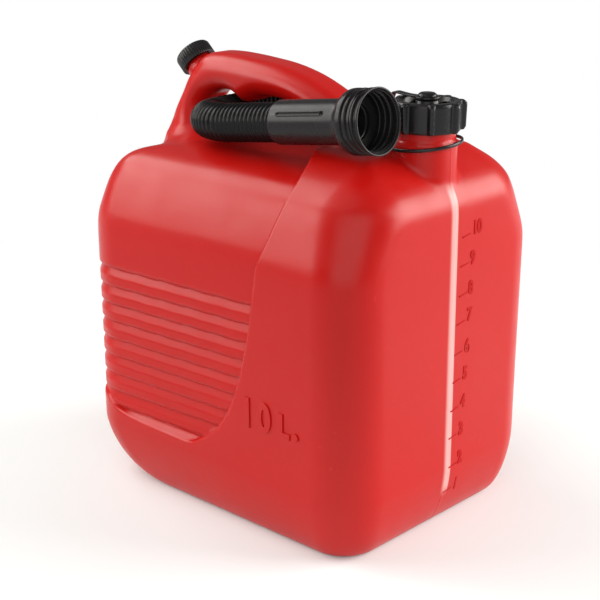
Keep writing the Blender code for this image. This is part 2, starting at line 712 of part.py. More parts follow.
def make_spout_collar(mat):
    outside = bell_profile(False)
    inside = bell_profile(True)
    seat = bell_seat()
    profile = [(socket_r(), 0), (SLEEVE_R - 0.0006, 0), (SLEEVE_R, 0.0012),
               (SLEEVE_R, SLEEVE_LENGTH - 0.002), (SLEEVE_R + 0.0015, SLEEVE_LENGTH)]
    profile += outside
    profile += inside[::-1]
    profile += [(inside[0][0], seat), (SPOUT_BORE_R, seat), (SPOUT_BORE_R, SOCKET_DEPTH),
                (socket_r(), SOCKET_DEPTH)]
    collar = turned("collar", profile, 32)
    slots = []
    for side in (1, -1):
        slot = box("slot", (0.0030, 0.0024, SLEEVE_SLOT_LENGTH),
                   (SLEEVE_R + 0.0008, 0, SLEEVE_LENGTH / 2 + 0.001))
        slots.append(place(slot, Matrix.Rotation(side * math.pi / 2 - math.radians(12), 4, "Z")))
    boolean(collar, joined("sleeve_slots", slots), "DIFFERENCE")
    place(collar, spout_matrix())
    return finish(collar, "spout_collar", mat, (swing_x(), swing_y(), SPOUT_START_Z))


def swing_x():
    """The stowed bend flexes about its centroid, which lies 2R/pi behind its centre."""
    return BEND_X - 2 * BEND_R / math.pi


def swing_y():
    return SPOUT_Y + BEND_R


def near_z(x):
    return SPOUT_START_Z + (x - SPOUT_START_X) * math.tan(SPOUT_RISE)


def far_y():
    return SPOUT_Y + 2 * BEND_R


def hose_route(step):
    """Evenly spaced points: into the sleeve's socket, round the bend under the handle, and on."""
    start = (SOCKET_DEPTH - SEAT_GAP) * math.cos(SPOUT_RISE)
    coarse = [Vector((SPOUT_START_X + start, SPOUT_Y, near_z(SPOUT_START_X + start)))]
    coarse.append(Vector((BEND_X, SPOUT_Y, near_z(BEND_X))))
    entry_z = near_z(BEND_X)
    slope = math.tan(SPOUT_RISE)
    for k in range(1, 37):
        a = math.pi * k / 36
        x = BEND_X - BEND_R * math.sin(a)
        y = SPOUT_Y + BEND_R * (1 - math.cos(a))
        t = k / 36
        h00 = 2 * t ** 3 - 3 * t ** 2 + 1
        h10 = t ** 3 - 2 * t ** 2 + t
        h01 = -2 * t ** 3 + 3 * t ** 2
        z = h00 * entry_z - h10 * slope * math.pi * BEND_R * 0.45 + h01 * FAR_LEG_Z
        z -= (min(entry_z, FAR_LEG_Z) - BEND_LOW_Z) * math.sin(a) ** 2 * 0.6
        coarse.append(Vector((x, y, z)))
    coarse.append(Vector((BEND_X + FAR_LEG_LENGTH + SOCKET_DEPTH - SEAT_GAP, far_y(), FAR_LEG_Z)))
    lengths = [0.0]
    for a, b in zip(coarse[:-1], coarse[1:]):
        lengths.append(lengths[-1] + (b - a).length)
    count = int(lengths[-1] / step)
    points = []
    for k in range(count + 1):
        s = lengths[-1] * k / count
        i = min(int(np.searchsorted(lengths, s, side="right")) - 1, len(coarse) - 2)
        f = (s - lengths[i]) / (lengths[i + 1] - lengths[i])
        points.append(coarse[i].lerp(coarse[i + 1], f))
    return points


def make_spout_hose(mat):
    points = hose_route(HOSE_RIB_PITCH / 2)
    radii = [1.0 if k % 2 else 1 - HOSE_RIB_DEPTH / HOSE_R for k in range(len(points))]
    hose = curve_tube("hose", points, HOSE_R, radii=radii)
    core = hose_route(HOSE_RIB_PITCH * 2)
    core[0] = core[0] + (core[0] - core[1]).normalized() * 0.002
    core[-1] = core[-1] + (core[-1] - core[-2]).normalized() * 0.002
    boolean(hose, curve_tube("hose_bore", core, HOSE_BORE_R), "DIFFERENCE")
    return finish(hose, "spout_hose", mat)


def make_spout_nozzle(mat):
    base = 0.020
    profile = [(socket_r(), 0), (SLEEVE_R - 0.0004, 0), (SLEEVE_R, 0.001), (SLEEVE_R, base - 0.002),
               (SLEEVE_R - 0.0015, base), (NOZZLE_TIP_R, NOZZLE_LENGTH - 0.001),
               (NOZZLE_TIP_R - 0.0005, NOZZLE_LENGTH), (NOZZLE_TIP_R - NOZZLE_WALL, NOZZLE_LENGTH),
               (SPOUT_BORE_R, base), (SPOUT_BORE_R, SOCKET_DEPTH), (socket_r(), SOCKET_DEPTH)]
    nozzle = turned("nozzle", profile, 32)
    turn = Matrix.Translation((BEND_X + FAR_LEG_LENGTH, far_y(), FAR_LEG_Z))
    place(nozzle, turn @ Matrix.Rotation(math.pi / 2, 4, "Y"))
    return finish(nozzle, "spout_nozzle", mat, (swing_x(), swing_y(), FAR_LEG_Z))


red = material("red_plastic", (0.62, 0.035, 0.028), 0.42)
black = material("black_plastic", (0.03, 0.028, 0.03), 0.45)
rubber = material("black_rubber", (0.02, 0.02, 0.02), 0.7)

make_can_body(red)
make_filler_cap(black)
make_ring_seal("filler_cap_seal", NECK_LIP_Z + SEAT_GAP, SEAL_THICKNESS, SEAL_R, SEAL_HOLE_R,
               Matrix.Translation((NECK_X, 0, 0)), rubber, (NECK_X, 0, NECK_LIP_Z))
make_tether(black)
make_vent_cap(black)
make_ring_seal("vent_cap_seal", vent_lip() + SEAT_GAP, VENT_SEAL_THICKNESS, VENT_NECK_R - 0.0004,
               VENT_BORE_R - 0.0015, vent_matrix(), rubber, (VENT_X, 0, VENT_Z))
make_spout_collar(black)
make_ring_seal("spout_gasket", bell_seat() + SEAT_GAP, GASKET_THICKNESS,
               BELL_R - BELL_RIDGE_DEPTH - BELL_WALL - SEAT_GAP, SPOUT_BORE_R + 0.0012,
               spout_matrix(), rubber, (swing_x(), swing_y(), SPOUT_START_Z))
make_spout_hose(black)
make_spout_nozzle(black)

for tool in list(cutters.objects):
    bpy.data.objects.remove(tool, do_unlink=True)
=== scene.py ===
import json
import math

import bmesh
import bpy
import numpy as np
from mathutils import Matrix, Vector

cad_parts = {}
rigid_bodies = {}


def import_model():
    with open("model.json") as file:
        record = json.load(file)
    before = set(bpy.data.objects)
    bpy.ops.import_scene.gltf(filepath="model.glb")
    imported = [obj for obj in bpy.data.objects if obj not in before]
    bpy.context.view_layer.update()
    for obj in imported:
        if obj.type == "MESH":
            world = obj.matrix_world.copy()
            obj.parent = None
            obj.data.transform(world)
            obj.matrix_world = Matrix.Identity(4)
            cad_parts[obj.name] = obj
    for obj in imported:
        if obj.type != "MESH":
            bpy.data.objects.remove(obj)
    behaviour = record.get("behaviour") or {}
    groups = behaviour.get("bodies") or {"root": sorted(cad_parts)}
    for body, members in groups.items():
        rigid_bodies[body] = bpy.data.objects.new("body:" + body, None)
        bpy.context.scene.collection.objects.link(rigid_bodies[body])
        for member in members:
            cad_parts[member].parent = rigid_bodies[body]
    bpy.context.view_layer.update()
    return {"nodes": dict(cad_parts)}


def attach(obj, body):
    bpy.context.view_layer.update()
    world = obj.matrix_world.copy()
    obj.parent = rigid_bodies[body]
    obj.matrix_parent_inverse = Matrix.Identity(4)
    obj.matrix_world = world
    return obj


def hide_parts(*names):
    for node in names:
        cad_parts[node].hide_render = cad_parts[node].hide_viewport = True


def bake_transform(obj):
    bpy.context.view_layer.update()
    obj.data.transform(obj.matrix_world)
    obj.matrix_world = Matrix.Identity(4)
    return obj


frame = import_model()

print("frame loaded:", len(frame["nodes"]), "nodes")


# shape helpers
def smoothLine(points, perSpan=6, closed=False):
    # Catmull-Rom through the points
    pts = np.array(points, float)
    n = len(pts)
    out = []
    for i in range(n if closed else n - 1):
        if closed:
            p0, p1, p2, p3 = (pts[(i + k) % n] for k in (-1, 0, 1, 2))
        else:
            p0, p1, p2, p3 = (pts[min(max(i + k, 0), n - 1)] for k in (-1, 0, 1, 2))
        for k in range(perSpan):
            t = k / perSpan
            out.append(0.5 * (2 * p1 + (p2 - p0) * t + (2 * p0 - 5 * p1 + 4 * p2 - p3) * t * t
                              + (3 * p1 - p0 - 3 * p2 + p3) * t ** 3))
    if not closed:
        out.append(pts[-1])
    return np.array(out)


def distanceTable(outline, lowU, highU, lowV, highV, pitch=0.001):
    # signed distance to a closed outline, negative inside, on an even grid
    us = np.arange(lowU, highU + pitch, pitch)
    vs = np.arange(lowV, highV + pitch, pitch)
    u, v = us[:, None], vs[None, :]
    best = np.full((len(us), len(vs)), 1e9)
    inside = np.zeros(best.shape, bool)
    pts = np.array(outline, float)
    for (au, av), (bu, bv) in zip(pts, np.roll(pts, -1, 0)):
        eu, ev = bu - au, bv - av
        length2 = eu * eu + ev * ev
        if length2 < 1e-14:
            continue
        t = np.clip(((u - au) * eu + (v - av) * ev) / length2, 0, 1)
        best = np.minimum(best, (u - au - t * eu) ** 2 + (v - av - t * ev) ** 2)
        if abs(ev) > 1e-12:
            inside ^= ((av > v) != (bv > v)) & (u < au + (v - av) / ev * eu)
    return {"values": np.sqrt(best) * np.where(inside, -1, 1), "low": (lowU, lowV),
            "pitch": pitch}


def lookUp(table, u, v):
    # value between the table's points
    values, pitch = table["values"], table["pitch"]
    fu = np.clip((u - table["low"][0]) / pitch, 0, values.shape[0] - 1.001)
    fv = np.clip((v - table["low"][1]) / pitch, 0, values.shape[1] - 1.001)
    iu, iv = fu.astype(int), fv.astype(int)
    fu, fv = fu - iu, fv - iv
    low = values[iu, iv] * (1 - fu) + values[iu + 1, iv] * fu
    high = values[iu, iv + 1] * (1 - fu) + values[iu + 1, iv + 1] * fu
    return low * (1 - fv) + high * fv


def roundMax(a, b, r):
    # what two shapes share, with a rounded edge
    return (np.minimum(-r, np.maximum(a, b))
            + np.hypot(np.maximum(a + r, 0), np.maximum(b + r, 0)))


def filletMax(a, b, lean, r):
    # rolls a ball of radius r along the edge of two surfaces; lean is their normals' cosine
    ua, ub = a + r, b + r
    lean = np.clip(lean, -0.95, 0.985)
    far = np.sqrt((ua * ua + ub * ub - 2 * ua * ub * lean) / (1 - lean * lean)) - r
    return np.where((ua > ub * lean) & (ub > ua * lean) & (ua > 0) & (ub > 0),
                    far, np.maximum(a, b))


def smoothMin(a, b, k):
    # two shapes joined with a fillet
    h = np.clip(0.5 + 0.5 * (b - a) / k, 0, 1)
    return b * (1 - h) + a * h - k * h * (1 - h)


def smoothStep(low, high, value):
    t = np.clip((value - low) / (high - low), 0, 1)
    return t * t * (3 - 2 * t)


def gridLine(*spans):
    # coordinates from (start, end, step) spans that follow on each other
    values = []
    for start, end, step in spans:
        count = max(1, round((end - start) / step))
        values += [start + (end - start) * k / count for k in range(count)]
    return np.array(values + [spans[-1][1]])


def surfaceNet(values, xs, ys, zs):
    # one vertex in each cell that the surface crosses, one quad round each crossed edge
    inside = values < 0
    corners = np.zeros([n - 1 for n in inside.shape], np.int8)
    for i in (0, 1):
        for j in (0, 1):
            for k in (0, 1):
                corners += inside[i:len(xs) - 1 + i, j:len(ys) - 1 + j, k:len(zs) - 1 + k]
    cells = np.argwhere((corners > 0) & (corners < 8))
    number = np.full(corners.shape, -1, np.int64)
    number[tuple(cells.T)] = np.arange(len(cells))
    total = np.zeros((len(cells), 3))
    crossings = np.zeros(len(cells))
    lines = (xs, ys, zs)
    for axis in range(3):
        for p in (0, 1):
            for q in (0, 1):
                start = np.array([0, 0, 0])
                start[(axis + 1) % 3], start[(axis + 2) % 3] = p, q
                step = np.eye(3, dtype=int)[axis]
                a, b = cells + start, cells + start + step
                va, vb = values[tuple(a.T)], values[tuple(b.T)]
                hit = (va < 0) != (vb < 0)
                t = np.where(hit, va / np.where(hit, va - vb, 1), 0)
                for n in range(3):
                    ca, cb = lines[n][a[:, n]], lines[n][b[:, n]]
                    total[:, n] += np.where(hit, ca + t * (cb - ca), 0)
                crossings += hit
    points = total / crossings[:, None]
    quads = []
    for axis in range(3):
        u, v = (axis + 1) % 3, (axis + 2) % 3
        near = [slice(None)] * 3
        far = [slice(None)] * 3
        near[axis], far[axis] = slice(0, -1), slice(1, None)
        sa, sb = inside[tuple(near)], inside[tuple(far)]
        edges = np.argwhere(sa != sb)
        keep = ((edges[:, u] > 0) & (edges[:, v] > 0)
                & (edges[:, u] < inside.shape[u] - 1) & (edges[:, v] < inside.shape[v] - 1))
        edges = edges[keep]
        outward = sa[tuple(edges.T)]
        ring = []
        for du, dv in ((-1, -1), (0, -1), (0, 0), (-1, 0)):
            cell = edges.copy()
            cell[:, u] += du
            cell[:, v] += dv
            ring.append(number[tuple(cell.T)])
        ring = np.stack(ring, 1)
        ring[~outward] = ring[~outward][:, ::-1]
        quads.append(ring)
    return points, np.concatenate(quads)


def settle(points, field, rounds=3, reach=0.0015):
    # draws each point onto the surface along the field's slope
    start = points.copy()
    h = 0.0003
    for _ in range(rounds):
        x, y, z = points.T
        f = field(x, y, z)
        slope = np.stack([(field(x + h, y, z) - field(x - h, y, z)) / (2 * h),
                          (field(x, y + h, z) - field(x, y - h, z)) / (2 * h),
                          (field(x, y, z + h) - field(x, y, z - h)) / (2 * h)], 1)
        size = np.maximum((slope ** 2).sum(1), 0.2)
        points = points - slope * (f / size)[:, None]
        moved = points - start
        far = np.linalg.norm(moved, axis=1)
        points = start + moved * np.minimum(1, reach / np.maximum(far, 1e-9))[:, None]
    return points


def meshPiece(name, points, faces):
    mesh = bpy.data.meshes.new(name)
    mesh.from_pydata([tuple(p) for p in points], [], [tuple(int(i) for i in f) for f in faces])
    mesh.update()
    piece = bpy.data.objects.new(name, mesh)
    bpy.context.scene.collection.objects.link(piece)
    mesh.shade_smooth()
    return piece


def cleanMesh(piece, sharp, weld=False):
    # faces all outward, smooth but for the sharp edges
    bm = bmesh.new()
    bm.from_mesh(piece.data)
    if weld:
        bmesh.ops.remove_doubles(bm, verts=bm.verts, dist=0.000002)
        bmesh.ops.dissolve_degenerate(bm, dist=0.000001, edges=bm.edges)
        bmesh.ops.delete(bm, geom=[e for e in bm.edges if not e.link_faces], context="EDGES")
    bmesh.ops.recalc_face_normals(bm, faces=bm.faces)
    bm.to_mesh(piece.data)
    bm.free()
    piece.data.shade_smooth()
    piece.data.set_sharp_from_angle(angle=math.radians(sharp))
    return piece


def dress(piece, mat, body, slot, *nodes):
    # finish, body and the frame's nodes that the piece stands for
    piece.data.materials.clear()
    piece.data.materials.append(mat)
    if body:
        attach(piece, body)
    if nodes:
        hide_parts(*nodes)
    return piece


def roundedProfile(points, radius, steps=3):
    # rounds the corners of a closed profile of (radius, height[, own rounding]) points
    out = []
    n = len(points)
    for i, point in enumerate(points):
        r = point[2] if len(point) > 2 else radius
        p = np.array(point[:2])
        before = np.array(points[i - 1][:2]) - p
        after = np.array(points[(i + 1) % n][:2]) - p
        lb, la = np.linalg.norm(before), np.linalg.norm(after)
        if r <= 0 or p[0] < 1e-6 or min(lb, la) < 1e-7:
            out.append(tuple(p))
            continue
        before, after = before / lb, after / la
        angle = math.acos(np.clip(before @ after, -1, 1))
        if angle > math.radians(174):
            out.append(tuple(p))
            continue
        back = min(r / math.tan(angle / 2), 0.45 * lb, 0.45 * la)
        a, b = p + before * back, p + after * back
        for k in range(steps + 1):
            t = k / steps
            out.append(tuple((1 - t) ** 2 * a + 2 * t * (1 - t) * p + t * t * b))
    return out


def latheMesh(name, profile, steps=96, sharp=40, wave=None):
    # wave(angle, radius, height) may move the radius, as a thread does
    points = []
    for k in range(steps):
        a = 2 * math.pi * k / steps
        for r, z in profile:
            if wave and r > 1e-6:
                r = r + wave(a, r, z)
            points.append((r * math.cos(a), r * math.sin(a), z))
    n = len(profile)
    faces = []
    for k in range(steps):
        m = (k + 1) % steps
        for i in range(n):
            j = (i + 1) % n
            faces.append((k * n + i, m * n + i, m * n + j, k * n + j))
    return cleanMesh(meshPiece(name, points, faces), sharp, weld=True)


def softBlock(name, size, bevel):
    # a small block with rounded edges, round the origin
    bm = bmesh.new()
    bmesh.ops.create_cube(bm, size=1, matrix=Matrix.Diagonal((*size, 1)))
    bmesh.ops.bevel(bm, geom=bm.edges[:] + bm.verts[:], offset=bevel, segments=2,
                    profile=0.5, affect="EDGES")
    mesh = bpy.data.meshes.new(name)
    bm.to_mesh(mesh)
    bm.free()
    piece = bpy.data.objects.new(name, mesh)
    bpy.context.scene.collection.objects.link(piece)
    return piece


def gather(name, parts):
    # one piece from small ones
    bm = bmesh.new()
    for part in parts:
        mesh = part.data.copy()
        mesh.transform(part.matrix_basis)
        bm.from_mesh(mesh)
        bpy.data.meshes.remove(mesh)
        bpy.data.objects.remove(part, do_unlink=True)
    mesh = bpy.data.meshes.new(name)
    bm.to_mesh(mesh)
    bm.free()
    piece = bpy.data.objects.new(name, mesh)
    bpy.context.scene.collection.objects.link(piece)
    mesh.shade_smooth()
    mesh.set_sharp_from_angle(angle=math.radians(40))
    return piece


def sweep(name, sections, closed=False, sharp=50):
    # joins rings of points into one skin, with flat ends unless it is closed
    n = len(sections[0])
    points = [p for ring in sections for p in ring]
    faces = []
    count = len(sections)
    for k in range(count if closed else count - 1):
        m = (k + 1) % count
        for i in range(n):
            j = (i + 1) % n
            faces.append((k * n + i, k * n + j, m * n + j, m * n + i))
    if not closed:
        faces.append(tuple(reversed(range(n))))
        faces.append(tuple(range((count - 1) * n, count * n)))
    return cleanMesh(meshPiece(name, points, faces), sharp)


def helixRidge(name, radius, pitch, lowZ, depth, height, turns, outward=True, steps=48):
    # a thread ridge of round-topped section that runs out at both ends
    rings = []
    count = int(steps * turns)
    for k in range(count + 1):
        a = 2 * math.pi * k / steps
        share = min(1, min(k, count - k) / (steps * 0.12))
        d = depth * max(share, 0.04)
        z = lowZ + pitch * k / steps
        way = 1 if outward else -1
        section = [(-0.2 * depth * way, -height / 2), (d * 0.75 * way, -height * 0.28),
                   (d * way, -height * 0.08), (d * way, height * 0.08),
                   (d * 0.75 * way, height * 0.28), (-0.2 * depth * way, height / 2)]
        rings.append([((radius + dr) * math.cos(a), (radius + dr) * math.sin(a), z + dz)
                      for dr, dz in section])
    return sweep(name, rings, sharp=60)


# the red body's numbers, in metres
canShape = {
    "halfLength": 0.1341,
    "rearLength": 0.1340,
    "halfWidth": 0.10375,
    "frontCorner": 0.035,
    "rearCorner": 0.0385,
    "leastCorner": 0.008,
    "taperTop": 0.199,
    "sideTaper": 0.0017,
    "frontTaper": 0.0006,
    "rearLean": 1.16,
    "baseHeight": 0.045,
    "baseInset": 0.0169,
    "basePower": 1.5,
    # how the front corners' radius follows the side, the front and the base
    "cornerShares": (0.57, 1.82, 0.8),
    "baseRound": 0.0015,
    "roofZ": 0.2662,
    "roofCrown": 0.0008,
    "roofFillet": (0.86, 0.045),
    "rearRoofZ": 0.2528,
    "rearRoofFillet": (0.95, 0.06),
    "panelHalf": (0.075, 0.045),
    "panelCorner": 0.020,
    "panelDepth": 0.0022,
    "panelRound": 0.001,
    "seam": (0.00022, 0.00055),
}
recess = {
    "rearDepth": 0.0005,
    "stepDepth": 0.0088,
    "stepX": 0.050,
    "floorZ": 0.042,
    "runOut": 0.0075,
    # gap, slope and reach of the plain wall that the run-out stays under
    "cover": (0.0003, 0.5, 0.01),
    "frontX": 0.088,
    "ribFade": (6, 26),
    "lipRound": 0.0011,
    "rootRound": 0.0016,
    "ribTops": [0.1660, 0.1519, 0.1382, 0.1250, 0.1113, 0.0978, 0.0837, 0.0703, 0.0582],
    "ribDepth": 0.0024,
    "ribUndercut": 0.0015,
    "ribSlope": 0.0062,
}
neck = {
    "x": 0.108,
    "radius": 0.0193,
    "collar": 0.0206,
    "collarZ": 0.2725,
    "collarStep": 0.0008,
    "threadZ": 0.2815,
    "thread": (0.0009, 0.0011, 2.0),
    "lipZ": 0.2896,
    "lipRound": 0.0006,
    "bore": 0.0168,
    "boreFloorZ": 0.236,
    "boreRound": 0.0005,
    "rootFillet": 0.004,
}
vent = {
    "x": -0.112,
    "z": 0.3055,
    "angle": math.radians(43),
    "collar": 0.0112,
    "collarStep": (-0.0072, -0.0062),
    "radius": 0.0096,
    "bore": 0.0070,
    "boreRound": 0.0004,
    "lip": 0.0019,
    "lipRound": 0.0005,
    "low": -0.022,
    "rootFillet": 0.0020,
    "thread": (0.0007, 0.0009, 1.2),
}
handle = {
    "halfWidth": 0.0195,
    "round": 0.0135,
    "foot": 0.0130,
    "rearFoot": 0.0130,
    "rearFootX": (-0.055, -0.090),
    "footSpread": 0.0110,
    "spreadX": (-0.070, -0.105),
    "spreadZ": (0.262, 0.226),
    "flushFoot": 0.0115,
    "flushX": (-0.104, -0.126),
}

# how far the walls lie inside the box at each height: inset, height
sideInset = [(0.0, 0.190), (0.0003, 0.1955), (0.0012, 0.2010), (0.0029, 0.2070),
             (0.0066, 0.2180), (0.0105, 0.2290), (0.0150, 0.2385), (0.0210, 0.2452),
             (0.0290, 0.2512), (0.0400, 0.2575), (0.0520, 0.2642), (0.0620, 0.2698),
             (0.0760, 0.2778)]
rearInset = [(0.0, 0.187), (0.0003, 0.1950), (0.0012, 0.2020), (0.0027, 0.2080),
             (0.0058, 0.2180), (0.0097, 0.2285), (0.0150, 0.2378), (0.0215, 0.2440),
             (0.0300, 0.2480), (0.0420, 0.2512), (0.0560, 0.2545), (0.0700, 0.2577)]
frontInset = [(0.0, 0.224), (0.0003, 0.2300), (0.0016, 0.2360), (0.0048, 0.2415),
              (0.0095, 0.2465), (0.0165, 0.2520), (0.0300, 0.2618), (0.0430, 0.2713),
              (0.0600, 0.2838)]
# front edge and lower lip of the recess: x, height
stepLine = [(-0.165, 0.0655), (-0.130, 0.0648), (-0.116, 0.0640), (-0.108, 0.0622),
            (-0.1013, 0.0588), (-0.0907, 0.0553), (-0.0672, 0.0524), (-0.0450, 0.0514),
            (-0.0305, 0.0512), (-0.0193, 0.0523), (-0.0116, 0.0552), (0.0031, 0.0650),
            (0.0141, 0.0757), (0.0235, 0.0898), (0.0300, 0.1030), (0.0344, 0.1145),
            (0.0390, 0.1314), (0.0435, 0.1495), (0.0467, 0.1690), (0.0490, 0.1824),
            (0.0513, 0.1956), (0.0547, 0.2062), (0.0591, 0.2210), (0.0628, 0.2345),
            (0.0645, 0.2440), (0.0612, 0.2530), (0.0560, 0.2612), (0.0490, 0.2665),
            (0.0380, 0.2740)]
# the handle seen from the side, its outside and then its inside: x, height
handleOutline = [(-0.1140, 0.1900), (-0.1195, 0.1980), (-0.1236, 0.2100), (-0.1266, 0.2220),
                 (-0.1290, 0.2340), (-0.1296, 0.2430), (-0.1288, 0.2510), (-0.1268, 0.2580),
                 (-0.1242, 0.2640), (-0.1212, 0.2700), (-0.1172, 0.2765), (-0.1125, 0.2840),
                 (-0.1080, 0.2918), (-0.1040, 0.2970), (-0.0995, 0.3020), (-0.0945, 0.3069),
                 (-0.0895, 0.3104), (-0.0820, 0.3125), (-0.0670, 0.3131), (-0.0510, 0.3126),
                 (-0.0350, 0.3115), (-0.0190, 0.3100), (-0.0040, 0.3074), (0.0110, 0.3034),
                 (0.0260, 0.2977), (0.0400, 0.2911), (0.0530, 0.2829), (0.0660, 0.2729),
                 (0.0760, 0.2632), (0.0830, 0.2530), (0.0850, 0.2400), (0.0500, 0.2360),
                 (0.0480, 0.2500), (0.0440, 0.2590), (0.0340, 0.2685), (0.0200, 0.2765),
                 (0.0060, 0.2825), (-0.0100, 0.2858), (-0.0250, 0.2865), (-0.0350, 0.2855),
                 (-0.0430, 0.2818), (-0.0500, 0.2798), (-0.0565, 0.2832), (-0.0640, 0.2862),
                 (-0.0740, 0.2860), (-0.0830, 0.2830), (-0.0890, 0.2782), (-0.0935, 0.2710),
                 (-0.0955, 0.2630), (-0.0950, 0.2550), (-0.0900, 0.2400), (-0.0900, 0.2000),
                 (-0.1050, 0.1850)]

# the tables' reach
tableX = (-0.150, 0.150)
tableZ = (-0.03, 0.330)
stepTable = distanceTable(list(smoothLine(stepLine)) + [(0.038, 0.36), (-0.165, 0.36)],
                          *tableX, *tableZ)
handleTable = distanceTable(smoothLine(handleOutline, 5, closed=True), *tableX, *tableZ)
ventAxis = (-math.cos(vent["angle"]), math.sin(vent["angle"]))
insetRows = np.arange(-0.02, 0.34, 0.0005)


def insetCurve(points):
    # inset at each of the rows, straight below the first point and in line above the last
    line = smoothLine(points)
    inset = np.interp(insetRows, line[:, 1], line[:, 0])
    (i0, z0), (i1, z1) = points[-2:]
    over = insetRows > z1
    inset[over] = i1 + (insetRows[over] - z1) * (i1 - i0) / (z1 - z0)
    return inset


def insetAt(curve, z):
    return np.interp(z, insetRows, curve)


sideCurve = insetCurve(sideInset)
rearCurve = insetCurve(rearInset)
frontCurve = insetCurve(frontInset)


def baseTuck(z):
    # how far the wall has curled in towards the base, and its share of the taper
    low = np.clip(1 - z / canShape["baseHeight"], 0, 1)
    tuck = canShape["baseInset"] * (1 - np.sqrt(1 - low ** canShape["basePower"]))
    return tuck, np.clip(1 - z / canShape["taperTop"], 0, 1)


def planDistance(x, wide, z, curve, narrow=0.0):
    # distance to the can's rounded outline at height z, seen from above
    tuck, taper = baseTuck(z)
    sideIn, frontIn = insetAt(curve, z), insetAt(frontCurve, z)
    halfY = canShape["halfWidth"] - sideIn - tuck - canShape["sideTaper"] * taper - narrow
    front = canShape["halfLength"] - frontIn - tuck - canShape["frontTaper"] * taper
    back = canShape["rearLength"] - canShape["rearLean"] * sideIn - tuck
    bySide, byFront, byBase = canShape["cornerShares"]
    frontR = canShape["frontCorner"] + bySide * sideIn - byFront * frontIn - byBase * tuck
    frontR = np.maximum(frontR, canShape["leastCorner"])
    backR = np.maximum(canShape["rearCorner"] - sideIn + 2 * tuck, canShape["leastCorner"])
    ends = np.where(x > 0, x - front, -x - back)
    sides = wide - halfY
    r = np.where(x > 0, frontR, backR)
    return roundMax(ends, sides, r)


def wallDistance(x, wide, z, curve, narrow=0.0):
    # the same as a distance in space, where the wall leans
    h = 0.0006
    here = planDistance(x, wide, z, curve, narrow)
    slope = (planDistance(x, wide, z + h, curve, narrow)
             - planDistance(x, wide, z - h, curve, narrow)) / (2 * h)
    return here / np.sqrt(1 + slope * slope)


def ribDepth(z):
    # saw-tooth ribs: cut in below each top, then a slow slope back out
    depth = np.zeros_like(z)
    for top in recess["ribTops"]:
        down = top - z
        cut = smoothStep(0, recess["ribUndercut"], down)
        rise = 1 - np.clip((down - recess["ribUndercut"]) / recess["ribSlope"], 0, 1)
        depth = np.maximum(depth, recess["ribDepth"] * np.where(down > 0, cut * rise, 0))
    return depth


